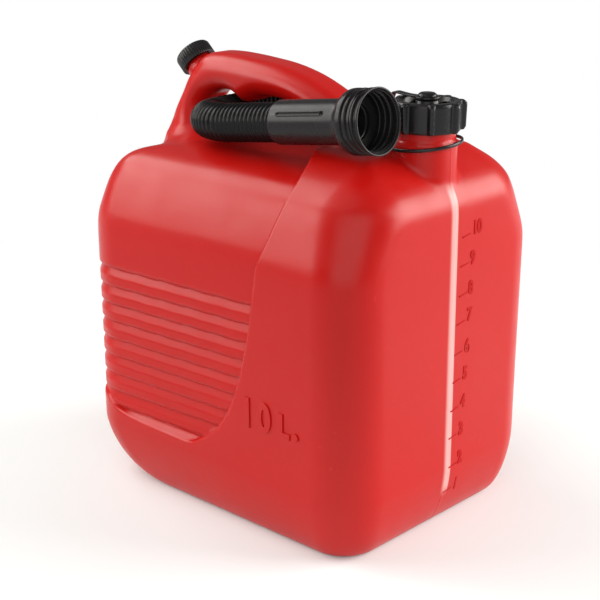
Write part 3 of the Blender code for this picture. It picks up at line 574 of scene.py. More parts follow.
def canField(x, y, z):
    # distance to the can's skin, negative inside
    half = canShape["halfLength"]
    wide = np.abs(y)
    plain = wallDistance(x, wide, z, sideCurve)
    crown = canShape["roofCrown"] * (1 - np.clip(wide / 0.04, 0, 1) ** 2)
    block = filletMax(plain, z - canShape["roofZ"] - crown, *canShape["roofFillet"])
    block = roundMax(block, -z, canShape["baseRound"])
    step = lookUp(stepTable, x, z)
    block = roundMax(block, -step, recess["lipRound"])

    # the rear part lies deeper towards the step
    share = np.clip((x + half) / (recess["stepX"] + half), 0, 1.3)
    depth = recess["rearDepth"] + (recess["stepDepth"] - recess["rearDepth"]) * share
    rear = wallDistance(x, wide, z, rearCurve, depth)
    rear = filletMax(rear, z - canShape["rearRoofZ"], *canShape["rearRoofFillet"])
    rear = np.maximum(rear, x - recess["frontX"])
    cornerX = -half + canShape["rearCorner"]
    cornerY = canShape["halfWidth"] - canShape["rearCorner"]
    turn = np.degrees(np.arctan2(wide - cornerY, np.maximum(cornerX - x, 1e-6)))
    fade = np.where(x > cornerX, 1.0, smoothStep(*recess["ribFade"], turn))
    rear = rear + ribDepth(z) * fade
    # below the last rib the wall runs out to the lower lip
    last = recess["ribTops"][-1] - 0.0010
    out = np.clip((last - z) / recess["runOut"], 0, 1)
    run = rear - (depth + recess["ribDepth"]) * out
    gap, slope, reach = recess["cover"]
    hidden = plain + gap + slope * np.clip(step, 0, reach)
    rear = np.where(z < last, np.maximum(run, hidden), rear)
    rear = np.maximum(rear, recess["floorZ"] - z)
    can = smoothMin(block, rear, recess["rootRound"])

    # the handle, its rear leg wider towards the roof
    spread = smoothStep(*handle["spreadZ"], z) * smoothStep(*handle["spreadX"], x)
    hold = roundMax(lookUp(handleTable, x, z),
                    wide - handle["halfWidth"] - handle["footSpread"] * spread, handle["round"])
    foot = handle["foot"] + handle["rearFoot"] * smoothStep(*handle["rearFootX"], x)
    # the leg's rear face runs down flush into the can's rear
    foot = foot + (handle["flushFoot"] - foot) * smoothStep(*handle["flushX"], x)
    can = smoothMin(can, hold, foot)

    # filler neck
    ring = np.hypot(x - neck["x"], y)
    tube = ring - neck["radius"] - (neck["collar"] - neck["radius"]) * (
        1 - smoothStep(neck["collarZ"], neck["collarZ"] + neck["collarStep"], z))
    tube = roundMax(tube, z - neck["lipZ"], neck["lipRound"])
    tube = np.maximum(tube, neck["boreFloorZ"] - z)
    can = smoothMin(can, tube, neck["rootFillet"])
    bore = np.maximum(ring - neck["bore"], neck["boreFloorZ"] + 0.003 - z)
    can = roundMax(can, -bore, neck["boreRound"])

    # vent neck, leaning back
    dx, dz = x - vent["x"], z - vent["z"]
    along = dx * ventAxis[0] + dz * ventAxis[1]
    radial = np.sqrt(np.maximum(dx * dx + y * y + dz * dz - along * along, 0))
    stub = radial - vent["radius"] - (vent["collar"] - vent["radius"]) * (
        1 - smoothStep(*vent["collarStep"], along))
    stub = np.maximum(roundMax(stub, along - vent["lip"], vent["lipRound"]), vent["low"] - along)
    can = smoothMin(can, stub, vent["rootFillet"])
    bore = np.maximum(radial - vent["bore"], vent["low"] + 0.004 - along)
    can = roundMax(can, -bore, vent["boreRound"])

    # flat base with a shallow panel
    px, py = canShape["panelHalf"]
    r = canShape["panelCorner"]
    can = np.maximum(can, -z)
    panel = np.hypot(np.maximum(np.abs(x) - px + r, 0), np.maximum(wide - py + r, 0)) - r
    panel = roundMax(panel, z - canShape["panelDepth"], canShape["panelRound"])
    can = roundMax(can, -panel, canShape["panelRound"])
    # the mould's seam down the front
    height, width = canShape["seam"]
    seam = height * np.exp(-(y / width) ** 2) * smoothStep(0.05, 0.07, x)
    return can - seam * (z < neck["collarZ"])


def makeCan(mat):
    # finer rows where the shape turns
    xs = gridLine((-0.1375, -0.100, 0.0018), (-0.100, -0.015, 0.0028), (-0.015, 0.028, 0.0020),
                  (0.028, 0.070, 0.0013), (0.070, 0.088, 0.0022), (0.088, 0.130, 0.0016),
                  (0.130, 0.1375, 0.0012))
    half = gridLine((0, 0.0012, 0.0004), (0.0012, 0.024, 0.0016), (0.024, 0.078, 0.0027),
                    (0.078, 0.092, 0.0018), (0.092, 0.1065, 0.0012))
    ys = np.concatenate([-half[:0:-1], half])
    ribRows = []
    tops = recess["ribTops"]
    for k, top in enumerate(tops):
        low = top - recess["ribUndercut"] - recess["ribSlope"]
        below = tops[k + 1] if k + 1 < len(tops) else top - 0.012
        ribRows += [top + 0.0003, top - 0.0003, top - 0.0008, top - 0.0013, top - 0.0018,
                    top - 0.0036, top - 0.0060, low + 0.0005, low - 0.0005,
                    (low + below) / 2]
    lowRow = min(ribRows)
    zs = np.concatenate([gridLine((-0.0015, 0.027, 0.0018), (0.027, lowRow, 0.0020))[:-1],
                         np.sort(ribRows)[:-1],
                         gridLine((max(ribRows), 0.192, 0.0035), (0.192, 0.270, 0.0016),
                                  (0.270, 0.3145, 0.0014))])
    values = np.concatenate([canField(part[:, None, None], ys[None, :, None], zs[None, None, :])
                             for part in np.array_split(xs, 12)])
    points, quads = surfaceNet(values, xs, ys, zs)
    points = settle(points, canField)
    can = meshPiece("can", points, quads)
    print("can body:", len(quads), "quads, grid", values.shape)
    return dress(can, mat, "can", "red_plastic", "can_body")


# materials
def newGroup(name, inputs, outputs):
    # a shader node group with named sockets
    group = bpy.data.node_groups.new(name, "ShaderNodeTree")
    for label, kind, value in inputs:
        socket = group.interface.new_socket(label, in_out="INPUT", socket_type=kind)
        if value is not None:
            socket.default_value = value
    for label, kind in outputs:
        group.interface.new_socket(label, in_out="OUTPUT", socket_type=kind)
    start, end = group.nodes.new("NodeGroupInput"), group.nodes.new("NodeGroupOutput")
    return group, group.nodes, group.links, start, end


def addNoise(nodes, links, vector, scale, detail, roughness=0.5):
    noise = nodes.new("ShaderNodeTexNoise")
    noise.inputs["Scale"].default_value = scale
    noise.inputs["Detail"].default_value = detail
    noise.inputs["Roughness"].default_value = roughness
    links.new(vector, noise.inputs["Vector"])
    return noise.outputs["Fac"]


def addMath(nodes, links, kind, a, b):
    node = nodes.new("ShaderNodeMath")
    node.operation = kind
    for socket, value in zip(node.inputs, (a, b)):
        if isinstance(value, (int, float)):
            socket.default_value = value
        else:
            links.new(value, socket)
    return node.outputs[0]


def addRange(nodes, links, value, low, high, outLow=0.0, outHigh=1.0, smooth=True):
    node = nodes.new("ShaderNodeMapRange")
    node.interpolation_type = "SMOOTHSTEP" if smooth else "LINEAR"
    links.new(value, node.inputs["Value"])
    for label, number in (("From Min", low), ("From Max", high), ("To Min", outLow),
                          ("To Max", outHigh)):
        node.inputs[label].default_value = number
    return node.outputs["Result"]


def addMix(nodes, links, factor, a, b):
    # mixes two colours, each a value or a socket
    node = nodes.new("ShaderNodeMix")
    node.data_type = "RGBA"
    links.new(factor, node.inputs["Factor"])
    for label, colour in (("A", a), ("B", b)):
        if isinstance(colour, tuple):
            node.inputs[label].default_value = (*colour, 1)
        else:
            links.new(colour, node.inputs[label])
    return node.outputs["Result"]


def makeGrainGroup():
    # fine moulded grain over a faint waviness, as a normal
    group, nodes, links, start, end = newGroup(
        "mouldedGrain",
        [("Vector", "NodeSocketVector", None), ("Grain", "NodeSocketFloat", 0.1),
         ("Waviness", "NodeSocketFloat", 0.1)],
        [("Normal", "NodeSocketVector")])
    vector = start.outputs["Vector"]
    fine = addNoise(nodes, links, vector, 1500, 2)
    wide = addNoise(nodes, links, vector, 28, 1)
    first = nodes.new("ShaderNodeBump")
    first.inputs["Distance"].default_value = 0.0018
    links.new(wide, first.inputs["Height"])
    links.new(start.outputs["Waviness"], first.inputs["Strength"])
    second = nodes.new("ShaderNodeBump")
    second.inputs["Distance"].default_value = 0.00012
    links.new(fine, second.inputs["Height"])
    links.new(start.outputs["Grain"], second.inputs["Strength"])
    links.new(first.outputs["Normal"], second.inputs["Normal"])
    links.new(second.outputs["Normal"], end.inputs["Normal"])
    return group


def makeToneGroup():
    # slow change of tone, and fine specks, round 1
    group, nodes, links, start, end = newGroup(
        "plasticTone",
        [("Vector", "NodeSocketVector", None), ("Amount", "NodeSocketFloat", 0.05)],
        [("Tone", "NodeSocketFloat"), ("Gloss", "NodeSocketFloat")])
    vector = start.outputs["Vector"]
    slow = addNoise(nodes, links, vector, 9, 3)
    specks = addNoise(nodes, links, vector, 420, 2, 0.6)
    both = addMath(nodes, links, "ADD", addMath(nodes, links, "MULTIPLY", slow, 1.4),
                   addMath(nodes, links, "MULTIPLY", specks, 0.6))
    centred = addMath(nodes, links, "SUBTRACT", both, 1.0)
    scaled = addMath(nodes, links, "MULTIPLY", centred, start.outputs["Amount"])
    links.new(addMath(nodes, links, "ADD", scaled, 1.0), end.inputs["Tone"])
    gloss = addNoise(nodes, links, vector, 55, 4, 0.6)
    links.new(addRange(nodes, links, gloss, 0.35, 0.7), end.inputs["Gloss"])
    return group


def makeWearGroup():
    # sparse thin scratches and dull rubbed patches
    group, nodes, links, start, end = newGroup(
        "handlingWear",
        [("Vector", "NodeSocketVector", None), ("Scratches", "NodeSocketFloat", 0.5)],
        [("Mask", "NodeSocketFloat")])
    vector = start.outputs["Vector"]
    stretch = nodes.new("ShaderNodeMapping")
    stretch.inputs["Rotation"].default_value = (0.5, 0.4, 0.9)
    stretch.inputs["Scale"].default_value = (14, 240, 170)
    links.new(vector, stretch.inputs["Vector"])
    lines = addNoise(nodes, links, stretch.outputs["Vector"], 1.0, 2)
    thin = addRange(nodes, links, lines, 0.70, 0.76)
    patches = addRange(nodes, links, addNoise(nodes, links, vector, 16, 2), 0.52, 0.66)
    links.new(addMath(nodes, links, "MULTIPLY", addMath(nodes, links, "MULTIPLY", thin, patches),
                      start.outputs["Scratches"]), end.inputs["Mask"])
    return group


grainGroup, toneGroup, wearGroup = makeGrainGroup(), makeToneGroup(), makeWearGroup()


def addGroup(nodes, links, group, vector, **values):
    node = nodes.new("ShaderNodeGroup")
    node.node_tree = group
    links.new(vector, node.inputs["Vector"])
    for label, value in values.items():
        node.inputs[label].default_value = value
    return node


def plasticMaterial(name, look):
    # moulded plastic: tone, wear and grain from the groups
    mat = bpy.data.materials.new(name)
    mat.use_nodes = True
    nodes, links = mat.node_tree.nodes, mat.node_tree.links
    shader = nodes["Principled BSDF"]
    place = nodes.new("ShaderNodeTexCoord").outputs["Object"]
    tone = addGroup(nodes, links, toneGroup, place, Amount=look["mottle"])
    wear = addGroup(nodes, links, wearGroup, place, Scratches=look["scratches"])
    grain = addGroup(nodes, links, grainGroup, place, Grain=look["grain"],
                     Waviness=look["waviness"])
    colour = addMix(nodes, links, wear.outputs["Mask"], look["colour"], look["worn"])
    toned = nodes.new("ShaderNodeVectorMath")
    toned.operation = "SCALE"
    links.new(colour, toned.inputs["Vector"])
    links.new(tone.outputs["Tone"], toned.inputs["Scale"])
    links.new(toned.outputs["Vector"], shader.inputs["Base Color"])
    rough = addRange(nodes, links, tone.outputs["Gloss"], 0, 1, look["roughness"][0],
                     look["roughness"][1], False)
    rough = addMath(nodes, links, "ADD", rough,
                    addMath(nodes, links, "MULTIPLY", wear.outputs["Mask"], 0.15))
    links.new(rough, shader.inputs["Roughness"])
    links.new(grain.outputs["Normal"], shader.inputs["Normal"])
    shader.inputs["Specular IOR Level"].default_value = look["specular"]
    return mat, nodes, links, shader, toned, place


redLook = {
    "colour": (0.530, 0.006, 0.004),
    "worn": (0.70, 0.06, 0.05),
    "mottle": 0.10,
    "scratches": 0.25,
    "grain": 0.25,
    "waviness": 0.05,
    "roughness": (0.30, 0.37),
    "specular": 0.31,
}
strip = {
    "colour": (0.80, 0.42, 0.40),
    "topZ": 0.2480,
    "lowZ": 0.0205,
    "left": -0.0026,
    "right": 0.0038,
    "lean": -0.009,
    "leanZ": 0.14,
    "leftSoft": 0.0022,
    "rightSoft": 0.0006,
    "frontX": (0.095, 0.100),
    "strength": 0.92,
}


def makeRed():
    mat, nodes, links, shader, toned, place = plasticMaterial("redPolyethylene", redLook)
    # pale level strip down the middle of the front, soft on its left side
    split = nodes.new("ShaderNodeSeparateXYZ")
    links.new(place, split.inputs[0])
    x, y, z = split.outputs
    lean = addMath(nodes, links, "MULTIPLY",
                   addMath(nodes, links, "SUBTRACT", z, strip["leanZ"]), strip["lean"])
    left = addMath(nodes, links, "ADD", lean, strip["left"])
    right = addMath(nodes, links, "ADD", lean, strip["right"])
    fromLeft = addRange(nodes, links, addMath(nodes, links, "SUBTRACT", y, left),
                        -strip["leftSoft"], strip["leftSoft"])
    fromRight = addRange(nodes, links, addMath(nodes, links, "SUBTRACT", right, y),
                         -strip["rightSoft"], strip["rightSoft"])
    low = addRange(nodes, links, z, strip["lowZ"], strip["lowZ"] + 0.012)
    high = addRange(nodes, links, z, strip["topZ"], strip["topZ"] - 0.010)
    front = addRange(nodes, links, x, *strip["frontX"])
    mask = fromLeft
    for part in (fromRight, low, high, front):
        mask = addMath(nodes, links, "MULTIPLY", mask, part)
    mask = addMath(nodes, links, "MULTIPLY", mask, strip["strength"])
    colour = addMix(nodes, links, mask, toned.outputs["Vector"], strip["colour"])
    links.new(colour, shader.inputs["Base Color"])
    return mat


# litre marks in a darker red: painted shade standing in for the shading on the flanks of the
# raised strokes
shadedMarkLook = dict(redLook, colour=(0.46, 0.004, 0.004), worn=(0.5, 0.02, 0.015), specular=0.12)
blackLook = {
    "colour": (0.013, 0.0115, 0.012),
    "worn": (0.085, 0.082, 0.080),
    "mottle": 0.25,
    "scratches": 0.35,
    "grain": 0.05,
    "waviness": 0.03,
    "roughness": (0.25, 0.33),
    "specular": 0.20,
}
hoseLook = dict(blackLook, colour=(0.008, 0.0075, 0.008), roughness=(0.26, 0.34), specular=0.15)
capLook = dict(blackLook, colour=(0.010, 0.009, 0.0095), roughness=(0.24, 0.32), specular=0.30)
rubberLook = dict(blackLook, colour=(0.012, 0.012, 0.012), roughness=(0.6, 0.75), grain=0.3)

red = makeRed()
shadedMarkRed = plasticMaterial("raisedMarksPaintedShade", shadedMarkLook)[0]
black = plasticMaterial("blackPolyethylene", blackLook)[0]
capBlack = plasticMaterial("capPolypropylene", capLook)[0]
hoseBlack = plasticMaterial("hoseBlack", hoseLook)[0]
rubber = plasticMaterial("blackRubber", rubberLook)[0]
print("materials ready")
# the seals stay as the frame has them
for node in frame["nodes"].values():
    node.data.materials.clear()
    node.data.materials.append(rubber)
makeCan(red)


# filler cap
cap = {
    "low": 0.2792,
    "rim": 0.2988,
    "ceiling": 0.2920,
    "wellFloor": 0.2936,
    "wall": 0.0222,
    "bore": 0.0206,
    "wellRadius": 0.0172,
    "hub": 0.0078,
    "knob": 0.0050,
    "head": 0.0064,
    "knobTop": 0.3014,
    "lugs": 8,
    "lugHeight": 0.0040,
    "lugHalfWidth": 0.0017,
    "ribs": 8,
    # each rib is a row of short blocks
    "ribBlock": (0.0030, 0.0010),
    "ribBlocks": 5,
    "ribStep": 0.00195,
    "ribBend": 0.12,
    "pitch": 0.003,
    "thread": (0.0008, 0.0011, 2.0),
}


def capWave(angle, r, z):
    # eight rounded lugs up the wall, lower at their ends
    if r < cap["wall"] - 0.0016 or z > cap["rim"] + 0.0001:
        return 0.0
    part = 2 * math.pi / cap["lugs"]
    off = abs((angle + part / 2) % part - part / 2) * cap["wall"]
    across = 1 - smoothStep(cap["lugHalfWidth"] * 0.55, cap["lugHalfWidth"] * 1.45, off)
    up = smoothStep(cap["low"] + 0.0003, cap["low"] + 0.0022, z)
    down = 1 - 0.35 * smoothStep(cap["rim"] - 0.0022, cap["rim"], z)
    lean = 0.86 + 0.14 * (z - cap["low"]) / (cap["rim"] - cap["low"])
    return float(cap["lugHeight"] * across * (0.72 + 0.28 * up) * down * lean)


def makeFillerCap(mat):
    wall, low, rim, bore = cap["wall"], cap["low"], cap["rim"], cap["bore"]
    well, floorZ, hub = cap["wellRadius"], cap["wellFloor"], cap["hub"]
    knob, head, top = cap["knob"], cap["head"], cap["knobTop"]
    rows = [low + 0.0004 + k * 0.0016 for k in range(12)]
    profile = [(0, cap["ceiling"], 0), (bore, cap["ceiling"]), (bore, low),
               (wall - 0.0004, low, 0)]
    profile += [(wall, z, 0) for z in rows if z < rim - 0.0019]
    profile += [(wall, rim - 0.0018, 0), (wall - 0.0003, rim - 0.0008, 0),
                (wall - 0.0009, rim - 0.0001, 0), (wall - 0.0016, rim, 0),
                (well + 0.0006, rim, 0), (well, rim - 0.0006, 0),
                (well - 0.0008, floorZ + 0.0006, 0), (well - 0.0016, floorZ, 0),
                (hub + 0.0006, floorZ, 0), (hub, floorZ + 0.0006, 0), (hub, rim - 0.0004, 0),
                (hub - 0.0004, rim, 0), (knob, rim, 0), (knob, top, 0), (head, top, 0),
                (head - 0.0004, top + 0.0010, 0), (head - 0.0016, top + 0.0019, 0),
                (0.0028, top + 0.0022, 0), (0, top + 0.0018, 0)]
    piece = latheMesh("fillerCap", roundedProfile(profile, 0.0003), 320, 50, capWave)
    ribs = []
    for k in range(cap["ribs"]):
        turn = 2 * math.pi * (k + 0.5) / cap["ribs"]
        for n in range(cap["ribBlocks"]):
            r = hub + 0.0006 + n * cap["ribStep"]
            bend = turn + cap["ribBend"] * math.sin(math.pi * n / (cap["ribBlocks"] - 1))
            spot = (r * math.cos(bend), r * math.sin(bend), (floorZ + rim) / 2 - 0.0013)
            rib = softBlock("rib", (*cap["ribBlock"], rim - floorZ - 0.0024), 0.0003)
            rib.matrix_basis = Matrix.Translation(spot) @ Matrix.Rotation(bend, 4, "Z")
            ribs.append(rib)
    wellRibs = gather("fillerCapRibs", ribs)
    thread = helixRidge("fillerCapThread", cap["bore"] + 0.0001, cap["pitch"], neck["threadZ"],
                        *cap["thread"], False)
    for part in (piece, wellRibs, thread):
        part.data.transform(Matrix.Translation((neck["x"], 0, 0)))
    dress(piece, mat, "filler_cap", "black_plastic", "filler_cap")
    dress(wellRibs, mat, "filler_cap", "black_plastic")
    dress(thread, mat, "filler_cap", "black_plastic")
    neckThread = helixRidge("neckThread", neck["radius"] - 0.0001, cap["pitch"],
                            neck["threadZ"] + cap["pitch"] / 2, *neck["thread"])
    neckThread.data.transform(Matrix.Translation((neck["x"], 0, 0)))
    dress(neckThread, red, "can", "red_plastic")


# tether
tether = {
    "ringRadius": 0.0238,
    "ringHalf": (0.0008, 0.00115),
    "ringZ": 0.2702,
    "tilt": math.radians(6.5),
    "tiltAxis": (0.6765, -0.7365, 0),
    "width": 0.0055,
    "thickness": 0.0016,
    "eyelet": (0.0053, 0.0085, 0.2993, 0.3011),
    "rimBend": (0.0785, 0.2965),
    "strap": [(0.08320, 0.2682), (0.07960, 0.2700), (0.07850, 0.2740), (0.07840, 0.2800),
              (0.07840, 0.2870), (0.07840, 0.2935), (0.07870, 0.2975), (0.08020, 0.3000),
              (0.08300, 0.3009), (0.08700, 0.3006), (0.09300, 0.3001), (0.09920, 0.3001)],
    "split": 4,
}


def flattened(value, power):
    # a sine or cosine that stays longer near its ends, for flat sections with round edges
    return math.copysign(abs(value) ** power, value)


def makeTether(mat):
    rings = []
    for k in range(120):
        a = 2 * math.pi * k / 120
        ring = []
        for n in range(16):
            b = 2 * math.pi * n / 16
            r = tether["ringRadius"] + tether["ringHalf"][0] * flattened(math.cos(b), 0.7)
            ring.append((r * math.cos(a), r * math.sin(a),
                         tether["ringHalf"][1] * flattened(math.sin(b), 0.7)))
        rings.append(ring)
    loop = sweep("tetherRing", rings, closed=True)
    loop.data.transform(Matrix.Translation((neck["x"], 0, tether["ringZ"]))
                        @ Matrix.Rotation(tether["tilt"], 4, Vector(tether["tiltAxis"])))
    dress(loop, mat, "can", "black_plastic", "tether_ring")

    inner, outer, low, high = tether["eyelet"]
    eyelet = latheMesh("tetherEyelet", roundedProfile(
        [(inner, low), (outer, low), (outer, high), (inner, high)], 0.0004), 64)
    eyelet.data.transform(Matrix.Translation((neck["x"], 0, 0)))
    dress(eyelet, mat, "tether_end", "black_plastic", "tether_eyelet")

    line = smoothLine(tether["strap"], 6)
    split = 6 * tether["split"]
    for name, part, bodies in (("strapLower", line[:split + 1], ("can", "cap_gasket")),
                               ("strapUpper", line[split:], ("cap_gasket", "tether_end"))):
        rings = []
        for i, (x, z) in enumerate(part):
            ahead = part[min(i + 1, len(part) - 1)] - part[max(i - 1, 0)]
            ahead = ahead / np.linalg.norm(ahead)
            ring = []
            for n in range(20):
                b = 2 * math.pi * n / 20
                u = tether["width"] / 2 * flattened(math.cos(b), 0.35)
                v = tether["thickness"] / 2 * flattened(math.sin(b), 0.5)
                ring.append((x - ahead[1] * v, u, z + ahead[0] * v))
            rings.append(ring)
        piece = sweep(name, rings)
        dress(piece, mat, None, "black_plastic",
              *(["tether_strap"] if name == "strapLower" else []))
        a, b = part[0], part[-1] if name == "strapLower" else tether["rimBend"]
        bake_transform(piece)


# vent cap
ventCap = {
    "radius": 0.0140,
    "half": 0.0060,
    "top": 0.0052,
    "bore": 0.0106,
    "wall": 0.0020,
    "ribs": 40,
    "ribDepth": 0.0003,
    "pitch": 0.003,
    "threadLow": -0.0048,
    "thread": (0.0006, 0.0009, 1.2),
}


def ventMatrix():
    return (Matrix.Translation((vent["x"], 0, vent["z"]))
            @ Matrix.Rotation(-(math.pi / 2 - vent["angle"]), 4, "Y"))


def ventWave(angle, r, z):
    # fine knurls round the wall
    if r < ventCap["radius"] - 0.0004 or z > ventCap["half"] - 0.0008:
        return 0.0
    return -ventCap["ribDepth"] * (0.5 - 0.5 * math.cos(angle * ventCap["ribs"])) ** 2


def makeVentCap(mat):
    r, half, top = ventCap["radius"], ventCap["half"], ventCap["top"]
    bore, ceiling = ventCap["bore"], half - ventCap["wall"]
    profile = [(0, ceiling, 0), (bore, ceiling), (bore, -half), (r - 0.0003, -half, 0),
               (r, -half + 0.0004, 0),
               (r, 0, 0), (r, top - 0.0016, 0), (r - 0.0005, top - 0.0006, 0),
               (r - 0.0014, top, 0), (r - 0.0040, top, 0), (r - 0.0045, top - 0.0004, 0),
               (0, top - 0.0004, 0)]
    piece = latheMesh("ventCap", roundedProfile(profile, 0.0003), 320, 50, ventWave)
    thread = helixRidge("ventCapThread", ventCap["bore"] + 0.0001, ventCap["pitch"],
                        ventCap["threadLow"], *ventCap["thread"], False)
    stub = helixRidge("ventThread", vent["radius"] - 0.0001, ventCap["pitch"],
                      ventCap["threadLow"] + ventCap["pitch"] / 2, *vent["thread"])
    for part in (piece, thread, stub):
        part.data.transform(ventMatrix())
    dress(piece, mat, "vent_cap", "black_plastic", "vent_cap")
    dress(thread, mat, "vent_cap", "black_plastic")
    dress(stub, red, "can", "red_plastic")


# spout
spout = {
    "start": (0.026, -0.051, 0.2803),
    "rise": math.radians(7.5),
    "sleeve": 0.0150,
    "length": 0.0615,
    "bore": 0.0110,
    "socket": 0.0138,
    "socketDepth": 0.0140,
    "bell": 0.0214,
    "mouth": 0.0850,
    "shoulderEnd": (0.0695, 0.0712),
    "crests": [0.0738, 0.0796],
    "crestWidth": 0.00095,
    "ridgeDepth": 0.0022,
    "threadRadius": 0.0199,
    "pitch": 0.0045,
    "thread": (0.0014, 0.0022, 3.2),
    "barAngle": math.radians(29),
    "barLow": 0.0085,
    "barHigh": 0.0490,
    "barHalf": 0.0011,
    # raised edge: height, place, width; groove and end hole: depth, low, high
    "barEdge": (0.00045, 0.0001, 0.0005),
    "barGroove": (0.0007, -0.0008, -0.0003),
    "barHole": (0.0012, -0.0005, 0.0001),
}


def spoutMatrix():
    # from the sleeve's own frame, along its axis, to its place on the can
    return (Matrix.Translation(spout["start"])
            @ Matrix.Rotation(math.pi / 2 - spout["rise"], 4, "Y"))


def barWave(angle, r, z):
    # a groove with raised edges along both sides of the sleeve
    if r < spout["sleeve"] - 0.0002 or z > spout["length"] - 0.004:
        return 0.0
    total = 0.0
    half = spout["barHalf"]
    height, place, width = spout["barEdge"]
    groove, *grooveSpan = spout["barGroove"]
    hole, *holeSpan = spout["barHole"]
    for side in (-1, 1):
        middle = side * (math.pi / 2 + spout["barAngle"])
        off = (angle - middle + math.pi) % (2 * math.pi) - math.pi
        u = abs(off) * r
        v = max(spout["barLow"] + half - z, z - spout["barHigh"] + half, 0)
        d = math.hypot(u, v) - half
        total += height * math.exp(-((d - place) / width) ** 2)
        total -= groove * float(1 - smoothStep(*grooveSpan, d))
        end = math.hypot(u, z - spout["barHigh"] + half) - half
        total -= hole * float(1 - smoothStep(*holeSpan, end))
    return total


def bellRadius(z):
    # a broad first shoulder, then thin crests with wide grooves between
    groove = smoothStep(*spout["shoulderEnd"], z)
    for crest in spout["crests"] + [spout["mouth"]]:
        groove = groove * (1 - math.exp(-((z - crest) / spout["crestWidth"]) ** 2))
    return spout["bell"] - spout["ridgeDepth"] * float(groove)


def makeSpoutCollar(mat):
    length, end, seat = spout["length"], spout["mouth"], spout["length"] + 0.003
    r, bore = spout["sleeve"], spout["bore"]
    socket, depth = spout["socket"], spout["socketDepth"]
    profile = [(socket, 0.0006), (r - 0.0009, 0), (r - 0.0004, 0.0002), (r, 0.0011)]
    profile += [(r, z) for z in np.arange(0.0016, length - 0.006, 0.0005)]
    profile += [(r, length - 0.0040), (r + 0.0005, length - 0.0020), (r + 0.0016, length),
                (r + 0.0040, length + 0.0018), (0.0206, length + 0.0030),
                (0.0213, length + 0.0045)]
    steps = 60
    for k in range(steps + 1):
        z = length + 0.006 + (end - 0.0014 - length - 0.006) * k / steps
        profile.append((bellRadius(z), z))
    profile += [(0.0213, end - 0.0011), (0.0217, end - 0.0007), (0.0217, end - 0.0002),
                (0.0214, end), (0.0207, end), (0.0203, end - 0.0004), (0.0201, end - 0.0012),
                (0.0198, end - 0.008), (0.0190, seat + 0.004), (0.0185, seat + 0.0002),
                (0.0180, seat), (bore + 0.0004, seat), (bore, seat - 0.0004), (bore, depth),
                (socket, depth)]
    piece = latheMesh("spoutCollar", profile, 256, 60, barWave)
    thread = helixRidge("spoutThread", spout["threadRadius"], spout["pitch"], seat + 0.0035,
                        *spout["thread"], False, 64)
    for part in (piece, thread):
        part.data.transform(spoutMatrix())
    dress(piece, mat, "spout_head", "black_plastic", "spout_collar")
    dress(thread, mat, "spout_head", "black_plastic")


# hose and nozzle
hose = {
    "radius": 0.0135,
    "bore": 0.0106,
    "pitch": 0.0040,
    "depth": 0.0012,
    "bendRadius": 0.0435,
    "bendX": -0.027,
    "bendLowZ": 0.2676,
    "farY": 0.036,
    "farZ": 0.2730,
    "farLeg": 0.0140,
    "bendSteps": 72,
    "bendRise": 0.45,
    "bendDip": 0.6,
}


def hoseLine():
    # into the sleeve's socket, round the bend under the handle, and into the nozzle
    slope = math.tan(spout["rise"])
    x0, y0, z0 = spout["start"]
    r, bx = hose["bendRadius"], hose["bendX"]
    into = (spout["socketDepth"] - 0.0003) * math.cos(spout["rise"])
    line = [(x0 + into, y0, z0 + into * slope), (bx, y0, z0 + (bx - x0) * slope)]
    entry = line[-1][2]
    for k in range(1, hose["bendSteps"] + 1):
        t = k / hose["bendSteps"]
        a = math.pi * k / hose["bendSteps"]
        z = (2 * t ** 3 - 3 * t ** 2 + 1) * entry + (3 * t ** 2 - 2 * t ** 3) * hose["farZ"]
        z -= (t ** 3 - 2 * t ** 2 + t) * slope * math.pi * r * hose["bendRise"]
        z -= (min(entry, hose["farZ"]) - hose["bendLowZ"]) * math.sin(a) ** 2 * hose["bendDip"]
        line.append((bx - r * math.sin(a), y0 + r * (1 - math.cos(a)), z))
    line.append((bx + hose["farLeg"] + spout["socketDepth"] - 0.0003, y0 + 2 * r, hose["farZ"]))
    line = np.array(line)
    lengths = np.concatenate([[0], np.cumsum(np.linalg.norm(np.diff(line, axis=0), axis=1))])
    count = int(lengths[-1] / (hose["pitch"] / 8))
    even = np.linspace(0, lengths[-1], count + 1)
    points = np.stack([np.interp(even, lengths, line[:, n]) for n in range(3)], 1)
    for _ in range(6):
        points[1:-1] = (points[:-2] + 2 * points[1:-1] + points[2:]) / 4
    return points, even


def makeHose(mat):
    points, even = hoseLine()
    apex = int(np.argmin(points[:, 0]))
    ways = np.gradient(points, axis=0)
    ways /= np.linalg.norm(ways, axis=1)[:, None]
    sides = np.cross(ways, (0, 0, 1.0))
    sides /= np.linalg.norm(sides, axis=1)[:, None]
    tops = np.cross(sides, ways)

    def ringAt(i, radius):
        a = np.linspace(0, 2 * math.pi, 56, endpoint=False)
        return points[i] + radius * (np.cos(a)[:, None] * sides[i] + np.sin(a)[:, None] * tops[i])

    def ribRadius(i):
        crest = 0.5 + 0.5 * math.cos(2 * math.pi * even[i] / hose["pitch"])
        return hose["radius"] - hose["depth"] * (1 - crest ** 2)

    halves = (("hoseNear", range(0, apex + 1), ("can", "spout_head"), points[apex],
               (hose["bendX"], spout["start"][1], points[0][2] - 0.009)),
              ("hoseFar", range(apex, len(points)), ("can", "spout_tip"), points[apex],
               (hose["bendX"], hose["farY"], hose["farZ"])))
    for name, span, bodies, start, end in halves:
        outer = [ringAt(i, ribRadius(i)) for i in span]
        inner = [ringAt(i, hose["bore"]) for i in span]
        piece = sweep(name, outer + inner[::-1], closed=True, sharp=70)
        dress(piece, mat, None, "black_plastic", *(["spout_hose"] if name == "hoseNear" else []))
        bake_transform(piece)


